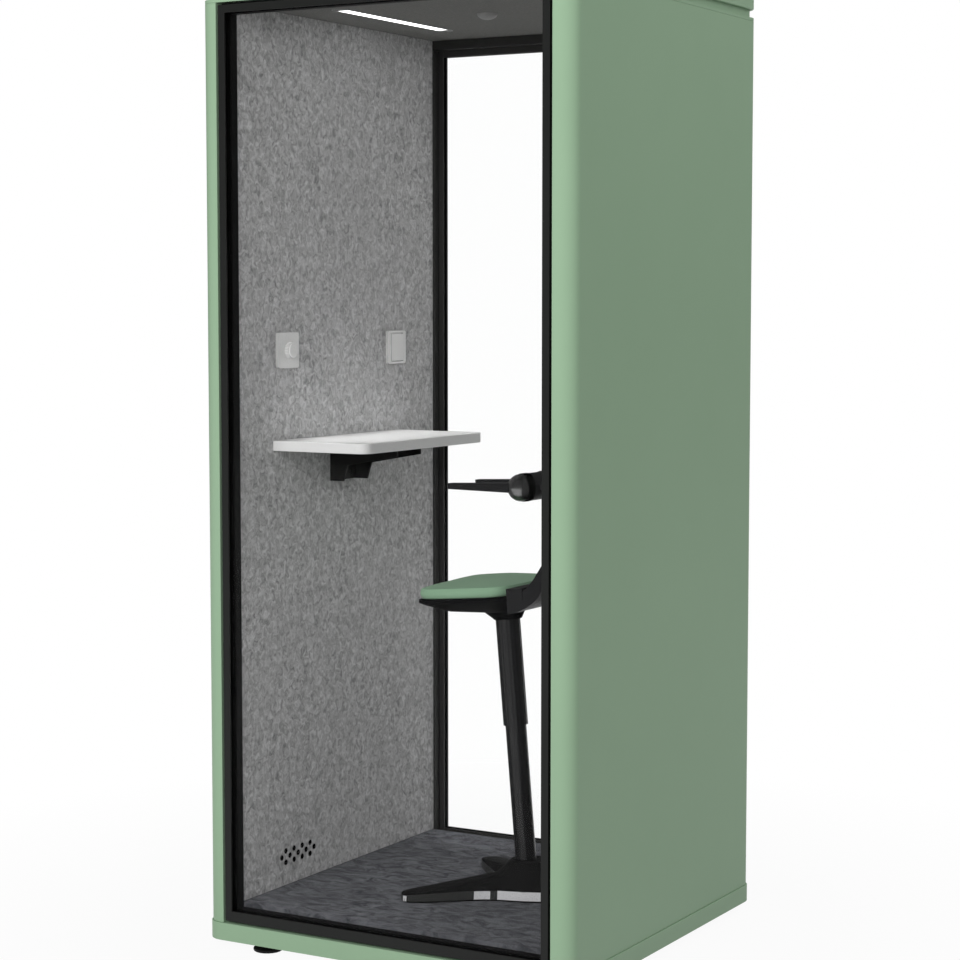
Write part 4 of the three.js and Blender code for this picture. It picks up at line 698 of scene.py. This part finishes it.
pile_shift = add_node(pile_tree, "ShaderNodeVectorMath", {0: pile_stray.outputs[0], 1: pile_in.outputs["Centre"]},
                      operation="ADD")
pile_points = add_node(pile_tree, "GeometryNodeSetPosition",
                       {"Geometry": pile_grid.outputs[0], "Offset": pile_shift.outputs[0]})
pile_loop = add_node(pile_tree, "GeometryNodeObjectInfo", {"Object": pile_in.outputs["Loop"]})
pile_turn = add_node(pile_tree, "FunctionNodeRandomValue", {0: (0, 0, -0.5), 1: (0, 0, 0.5), "Seed": 7},
                     data_type="FLOAT_VECTOR")
pile_size = add_node(pile_tree, "FunctionNodeRandomValue", {0: (0.85, 0.85, 0.7), 1: (1.1, 1.1, 1.0), "Seed": 11},
                     data_type="FLOAT_VECTOR")
pile_set = add_node(pile_tree, "GeometryNodeInstanceOnPoints", {
    "Points": pile_points.outputs[0], "Instance": pile_loop.outputs["Geometry"],
    "Rotation": pile_turn.outputs[0], "Scale": pile_size.outputs[0]})
close_tree(pile_tree, pile_in, pile_out, pile_set.outputs[0])

half = PITCH / 2
loop = template("pile_loop", [
    (-half, -half * 0.7, 0), (half, -half * 0.7, 0), (half, half * 0.7, 0), (-half, half * 0.7, 0),
    (-half * 0.5, 0, PILE * 0.9), (half * 0.5, 0, PILE * 0.9)],
    [(0, 1, 5, 4), (1, 2, 5), (2, 3, 4, 5), (3, 0, 4)])
low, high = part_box("carpet")
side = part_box("left_felt_panel")[1].x
carpet_width = -2 * side - 0.008
carpet_length = high.y - low.y - 0.008
pile = link_mesh("carpet_loops", bpy.data.meshes.new("carpet_loops"))
grow(pile, pile_tree, pile_keys, {
    "Loop": loop, "Width": carpet_width, "Length": carpet_length, "Columns": int(carpet_width / PITCH),
    "Rows": int(carpet_length / PITCH), "Jitter": PITCH * 0.22, "Seed": 3, "Material": loop_carpet,
    "Centre": (0.0, (low.y + high.y) / 2, carpet_top - PILE * 0.9)})
bpy.data.objects.remove(loop)
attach(pile, "pod")
print("pile faces:", len(pile.data.polygons))

# %% [markdown]
# ## The seat pad
# The pad is foam under a stretched cloth cover: a firm side band, an edge where the cover is sewn, and a crowned top.
# The cover starts as an even net of points that rays find on the solid. The net is drawn in a little, its band and
# underside are held, and a cloth simulation blows up the top from inside without gravity. A limit keeps the swelling
# to what firm foam allows. The edge stays crisp because its row of points is creased before the net is subdivided.

# %% Net of points on the pad
BAND = (0.0002, 0.003, 0.0075, 0.0115, 0.015, 0.0185, 0.022, 0.0247)
CROWN = (0.985, 0.955, 0.91, 0.85, 0.78, 0.7, 0.6, 0.5, 0.4, 0.3, 0.2, 0.1)
ROUND = 96
firm_mesh = merged_copy("seat_pad")
firm = BVHTree.FromPolygons([v.co for v in firm_mesh.vertices], [tuple(f.vertices) for f in firm_mesh.polygons])
middle = sum((v.co for v in firm_mesh.vertices), Vector()) / len(firm_mesh.vertices)
floor_level = min((v.co - pivot).dot(seat_up) for v in firm_mesh.vertices)
seat_ahead = Vector((seat_up.z, 0.0, -seat_up.x))
outward = [seat_ahead * math.cos(2 * math.pi * k / ROUND) + Vector((0.0, 1.0, 0.0)) * math.sin(2 * math.pi * k / ROUND)
           for k in range(ROUND)]


def pad_axis(level):
    return middle + seat_up * (floor_level + level - (middle - pivot).dot(seat_up))


net = []
for level in BAND:
    net.append([firm.ray_cast(pad_axis(level) + out * 0.4, -out)[0] for out in outward])
edge = net[-1]
for share in CROWN:
    tops = [pad_axis(0.0247) + (place - pad_axis(0.0247)) * share for place in edge]
    net.append([firm.ray_cast(place + seat_up * 0.2, -seat_up)[0] for place in tops])
soles = [[pad_axis(0.0002) + (place - pad_axis(0.0002)) * share for place in net[0]] for share in (0.3, 0.6, 0.9)]
net = soles + net
points = [place for row in net for place in row]
faces = [(r * ROUND + k, r * ROUND + (k + 1) % ROUND, (r + 1) * ROUND + (k + 1) % ROUND, (r + 1) * ROUND + k)
         for r in range(len(net) - 1) for k in range(ROUND)]
faces += [tuple(range(ROUND - 1, -1, -1)), tuple(range(len(points) - ROUND, len(points)))]
pad = template("seat_cushion", points, faces)
print("net of the pad:", len(net), "rows of", ROUND)

# %% Inflate the top
SEAM_ROW = len(soles) + len(BAND) - 1
SWELL = 0.0025
for point in pad.data.vertices:
    point.co -= (point.co - middle) * 0.003
rest = [point.co.copy() for point in pad.data.vertices]
held = pad.vertex_groups.new(name="held")
held.add(list(range((SEAM_ROW + 1) * ROUND)), 1.0, "REPLACE")
cloth = pad.modifiers.new("cover", "CLOTH")
cloth.settings.use_pressure = True
cloth.settings.uniform_pressure_force = 4.0
cloth.settings.effector_weights.gravity = 0.0
cloth.settings.vertex_group_mass = "held"
for step in range(1, 21):
    bpy.context.scene.frame_set(step)
settle(pad)
bpy.context.scene.frame_set(1)
moved = [point.co - before for point, before in zip(pad.data.vertices, rest)]
print("swelling before the limit:", round(max(m.length for m in moved) * 1000, 2), "mm")
for point, before, move in zip(pad.data.vertices, rest, moved):
    point.co = before + move * min(1.0, SWELL / max(move.length, 1e-9))
pad.vertex_groups.clear()
crease = pad.data.attributes.new("crease_edge", "FLOAT", "EDGE")
for line in pad.data.edges:
    if all(v // ROUND == SEAM_ROW for v in line.vertices):
        crease.data[line.index].value = 0.8
softener = pad.modifiers.new("soft cover", "SUBSURF")
softener.levels = softener.render_levels = 2
settle(pad)
smooth(pad.data, 180)
pad.data.materials.append(seat_cloth)
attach(pad, "seat")
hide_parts("seat_pad")
print("pad triangles:", len(pad.data.polygons) * 2)

# %% [markdown]
# ## Small pieces that repeat
# Screws, hole liners, grip ribs and stitches are each one small shape set many times. One Geometry Nodes tree does
# this for all of them: it takes a cloud of points, each with its own turn stored as an attribute, and sets the shape
# on every point. What differs is only the shape and where the points come from.

# %% Tree that sets a shape on points
set_tree, set_in, set_out, set_keys = open_tree("set_shape", [
    ("Geometry", "NodeSocketGeometry"), ("Shape", "NodeSocketObject"), ("Size", FLOAT), ("Material", "NodeSocketMaterial")])
set_turn = add_node(set_tree, "GeometryNodeInputNamedAttribute", {"Name": "turn"}, data_type="FLOAT_VECTOR")
set_shape = add_node(set_tree, "GeometryNodeObjectInfo", {"Object": set_in.outputs["Shape"]})
set_all = add_node(set_tree, "GeometryNodeInstanceOnPoints", {
    "Points": set_in.outputs["Geometry"], "Instance": set_shape.outputs["Geometry"],
    "Rotation": set_turn.outputs["Attribute"], "Scale": set_in.outputs["Size"]})
close_tree(set_tree, set_in, set_out, set_all.outputs[0])


def set_on_points(name, shape, places, turns, size, material, body):
    mesh = bpy.data.meshes.new(name)
    mesh.from_pydata([tuple(p) for p in places], [], [])
    turn = mesh.attributes.new("turn", "FLOAT_VECTOR", "POINT")
    turn.data.foreach_set("vector", np.array(turns, np.float32).ravel())
    obj = grow(link_mesh(name, mesh), set_tree, set_keys, {"Shape": shape, "Size": size, "Material": material})
    smooth(obj.data)
    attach(obj, body)
    print(name, "on", body, "x", len(places))
    return obj


def turned_shape(name, profile, sides, closed=False):
    rows = len(profile)
    points = [(r * math.cos(2 * math.pi * i / sides), r * math.sin(2 * math.pi * i / sides), z)
              for i in range(sides) for r, z in profile]
    faces = [(i * rows + k, (i + 1) % sides * rows + k, (i + 1) % sides * rows + (k + 1) % rows, i * rows + (k + 1) % rows)
             for i in range(sides) for k in range(rows if closed else rows - 1)]
    obj = template(name, points, faces)
    shape = bmesh.new()
    shape.from_mesh(obj.data)
    bmesh.ops.remove_doubles(shape, verts=shape.verts, dist=1e-7)
    bmesh.ops.recalc_face_normals(shape, faces=shape.faces)
    shape.to_mesh(obj.data)
    shape.free()
    return obj


FACE_UP, FACE_DOWN = (0.0, 0.0, 0.0), (math.pi, 0.0, 0.0)
FACE_RIGHT, FACE_LEFT = (0.0, math.pi / 2, 0.0), (0.0, -math.pi / 2, 0.0)

# %% [markdown]
# ## Dark liners of the air inlets
# Fresh air comes in through thirteen holes low in the left felt. Each hole gets a black liner with a thin lip: painted
# shade, which makes the hole look as dark as the shade deep inside it. The middles of the holes are read from the
# solid: its points on the felt's face that lie well inside the outline belong to holes, and points close together
# belong to the same one.

# %% Find the holes and line them
felt_low, felt_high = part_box("left_felt_panel")
holes = []
for point in merged_copy("left_felt_panel").vertices:
    inside = felt_low.y + 0.05 < point.co.y < felt_high.y - 0.05 and felt_low.z + 0.02 < point.co.z < felt_high.z - 0.05
    if inside and point.co.x > felt_high.x - 1e-4:
        hole = next((h for h in holes if (h[0] - point.co).length < 0.0135), None)
        if hole:
            hole.append(point.co.copy())
        else:
            holes.append([point.co.copy()])
middles = [sum(hole, Vector()) / len(hole) for hole in holes]
hole_radius = max((p - middles[0]).length for p in holes[0])
shade_liner = turned_shape("hole_liner", [(r * hole_radius, z) for r, z in (
    (0.86, -0.015), (0.97, -0.015), (0.97, 0.00005), (1.16, 0.00005), (1.14, 0.0005), (0.94, 0.0006), (0.86, 0.0002))],
    20, closed=True)
# The black liners paint the shade inside the holes.
set_on_points("inlet_liners", shade_liner, middles, [FACE_RIGHT] * len(middles), 1.0, seal_rubber, "pod")
bpy.data.objects.remove(shade_liner)

# %% [markdown]
# ## Screws
# Screws hold the desk bracket to wall and board, the power supply and the fan to the ceiling board, and the hinge
# plates to shell and door. All have a low round head with a socket. The unit head is one millimetre in radius and is
# scaled to the size that each piece needs.

# %% Screw heads
head = turned_shape("screw_head", [(r / 1000, z / 1000) for r, z in (
    (0, -0.05), (1, -0.05), (1, 0.2), (0.86, 0.4), (0.55, 0.46), (0.5, 0.15), (0, 0.15))], 12)
bracket_low, bracket_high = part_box("desk_bracket")
board = bracket_high.z - 0.005
wall = bracket_low.x + 0.005
bracket_places, bracket_turns = [], []
for y in (bracket_low.y + 0.024, bracket_high.y - 0.024):
    for x in (bracket_low.x + 0.05, bracket_high.x - 0.03):
        bracket_places.append((x, y, board))
        bracket_turns.append(FACE_DOWN)
    for z in (bracket_low.z + 0.016, board - 0.022):
        bracket_places.append((wall, y, z))
        bracket_turns.append(FACE_RIGHT)
set_on_points("bracket_screws", head, bracket_places, bracket_turns, 5.0, screw_steel, "pod")

fan_low, fan_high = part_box("fan_housing")
supply_low, supply_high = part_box("power_supply")
roof_places = [(x, y, fan_high.z) for x in (fan_low.x + 0.008, fan_high.x - 0.008)
               for y in (fan_low.y + 0.008, fan_high.y - 0.008)]
roof_places += [(x, y, supply_low.z + 0.0012) for x in (supply_low.x + 0.007, supply_high.x - 0.007)
                for y in (supply_low.y + 0.016, supply_high.y - 0.016)]
set_on_points("ceiling_screws", head, roof_places, [FACE_UP] * len(roof_places), 3.4, screw_steel, "pod")

hinge_rows = [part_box(f"hinge_{level}_jamb") for level in (1, 2, 3)]
plate_y = hinge_rows[0][0].y + 0.009
jamb_face, leaf_face = hinge_rows[0][0].x + 0.002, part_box("door_stile_hinge")[0].x - 0.0023
heights = [low.z + (high.z - low.z) * share for low, high in hinge_rows for share in (0.12, 0.5, 0.88)]
set_on_points("jamb_screws", head, [(jamb_face, plate_y, z) for z in heights], [FACE_RIGHT] * 9, 3.0, screw_steel,
              "pod")
set_on_points("leaf_screws", head, [(leaf_face, plate_y, z) for z in heights], [FACE_LEFT] * 9, 3.0, screw_steel,
              "door")
bpy.data.objects.remove(head)

# %% [markdown]
# ## Grip of the control knob
# The rotary control has fine ribs round its rim, so that fingers don't slip. One rib is a short half-round bar that
# follows the taper of the knob.

# %% Ribs round the knob
knob_low, knob_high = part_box("control_knob")
knob_middle = (knob_low + knob_high) / 2
knob_radius = (knob_high.z - knob_low.z) / 2
rib_rows = [(x, 0.0006 * math.cos(a), 0.0006 * math.sin(a)) for x in (-0.0045, 0.0045) for a in
            (math.radians(15 + 30 * k) for k in range(12))]
rib_sides = [(k, (k + 1) % 12, 12 + (k + 1) % 12, 12 + k) for k in range(12)]
rib = template("knob_rib", [(x, y - 0.0011 * (x + 0.0045) / 0.009, z) for x, y, z in rib_rows],
               rib_sides + [tuple(range(11, -1, -1)), tuple(range(12, 24))])
rib_turns = [2 * math.pi * k / 32 for k in range(32)]
rim = knob_radius - 0.0003
rib_places = [(knob_high.x - 0.0085, knob_middle.y + rim * math.cos(a), knob_middle.z + rim * math.sin(a)) for a in rib_turns]
set_on_points("knob_ribs", rib, rib_places, [(a, 0.0, 0.0) for a in rib_turns], 1.0, knob_plastic, "control_knob")
bpy.data.objects.remove(rib)

# %% [markdown]
# ## Seam of the seat cover
# The top of the cover is sewn to its side band. The seam runs round the pad a little below its upper edge. Rays from
# outside find the surface of the swollen pad at that level, and stitches of one length are laid along the line.

# %% Stitches round the pad
skin = BVHTree.FromPolygons([v.co for v in pad.data.vertices], [tuple(f.vertices) for f in pad.data.polygons])
seam_level = pivot + seat_up * (floor_level + 0.0195)
seam_centre = middle + seat_up * (seam_level - middle).dot(seat_up)
seam = []
for step in range(720):
    angle = 2 * math.pi * step / 720
    out = seat_ahead * math.cos(angle) + Vector((0.0, 1.0, 0.0)) * math.sin(angle)
    place, normal, _, _ = skin.ray_cast(seam_centre + out * 0.4, -out)
    seam.append((place, normal))
STITCH_PITCH = 0.0052
stitch_places, stitch_turns = [], []
travelled = STITCH_PITCH
for (first, normal), (second, _) in zip(seam, seam[1:] + seam[:1]):
    travelled += (second - first).length
    if travelled >= STITCH_PITCH:
        travelled -= STITCH_PITCH
        along = (second - first).normalized()
        across = normal.cross(along).normalized()
        stitch_places.append(first + normal * 0.0001)
        stitch_turns.append(tuple(Matrix((along, across, along.cross(across))).transposed().to_euler()))
stitch_rows = [(-0.0021, 0.0), (-0.0016, 0.0004), (0.0016, 0.0004), (0.0021, 0.0)]
stitch = turned_shape("stitch", [(r, x) for x, r in stitch_rows], 6)
stitch.data.transform(Matrix.Rotation(math.pi / 2, 4, "Y"))
set_on_points("seat_stitches", stitch, stitch_places, stitch_turns, 1.0, seam_thread, "seat")
bpy.data.objects.remove(stitch)

# %% [markdown]
# ## Painted reflections and shade on the stool
# The upright edge of the base carries pale strips that paint the reflection of the bright window on its glossy edge:
# a long one between two legs, a short one beside the root of each leg, and a narrow glint at each tip. Each strip has
# to follow the curved edge. Rays towards the hub find the edge at the bottom and at the top of the strip, and the
# strip is a thin band of boxes through these points. Where the arms turn on the back roll, a near-black ring lies
# next to each joint: painted shade of the groove between the turning cap and the roll.

# %% Pale strips of the base, painted reflections
HUB = Vector((0.136, -0.05615, 0.0))
LEGS = (0.0, 137.7, 222.3)
casting = BVHTree.FromPolygons([v.co for v in base.data.vertices], [tuple(f.vertices) for f in base.data.polygons])


def edge_points(angle, low, high):
    out = Vector((math.cos(math.radians(angle)), math.sin(math.radians(angle)), 0.0))
    found = []
    for level in (low, high):
        place, normal, _, _ = casting.ray_cast(HUB + out * 0.5 + Vector((0.0, 0.0, carpet_top + level)), -out)
        found.append((place + normal * 0.0006, place - normal * 0.0006))
    (low_out, low_in), (high_out, high_in) = found
    return [low_out, high_out, high_in, low_in]


def strip(points, faces, start, end, low, high):
    steps = max(2, round((end - start) / 2))
    first = len(points)
    for step in range(steps + 1):
        points += edge_points(start + (end - start) * step / steps, low, high)
    for step in range(steps):
        i = first + 4 * step
        faces += [(i + k, i + 4 + k, i + 4 + (k + 1) % 4, i + (k + 1) % 4) for k in range(4)]
    last = first + 4 * steps
    faces += [(first, first + 1, first + 2, first + 3), (last + 3, last + 2, last + 1, last)]


strip_points, strip_faces = [], []
for leg, following in zip(LEGS, LEGS[1:] + (LEGS[0] + 360,)):
    strip(strip_points, strip_faces, leg + 30.7, following - 30.7, 0.0046, 0.0255)
    for side in (1, -1):
        ends = sorted((leg + side * 15.7, leg + side * 24.2))
        strip(strip_points, strip_faces, ends[0], ends[1], 0.0046, 0.0240)
        tips = sorted((leg + side * 2.3, leg + side * 3.9))
        strip(strip_points, strip_faces, tips[0], tips[1], 0.004, 0.0165)
reflection_strips = template("base_strips", strip_points, strip_faces)
shape = bmesh.new()
shape.from_mesh(reflection_strips.data)
bmesh.ops.recalc_face_normals(shape, faces=shape.faces)
shape.to_mesh(reflection_strips.data)
shape.free()
smooth(reflection_strips.data)
reflection_strips.data.materials.append(painted_reflection_band)
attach(reflection_strips, "pod")
print("strip faces:", len(reflection_strips.data.polygons))

# %% Near-black rings of the back roll, painted shade of its grooves
roll_middle = sum((Vector(j["pos_m"]) for j in arm_joints.values()), Vector()) / len(arm_joints)
ring = turned_shape("roll_ring", [(r / 1000, z / 1000) for r, z in (
    (32, -9), (33.3, -9), (33.9, -8), (33.9, 8), (33.3, 9), (32, 9))], 48, closed=True)
ring_places, ring_turns = [], []
for joint in arm_joints.values():
    end, turn_axis = Vector(joint["pos_m"]), Vector(joint["axis"]).normalized()
    inward = turn_axis if (roll_middle - end).dot(turn_axis) > 0 else -turn_axis
    ring_places.append(end + inward * 0.0098)
    ring_turns.append(tuple(inward.to_track_quat("Z", "Y").to_euler()))
set_on_points("roll_rings", ring, ring_places, ring_turns, 1.0, painted_groove_shade, "seat")
bpy.data.objects.remove(ring)
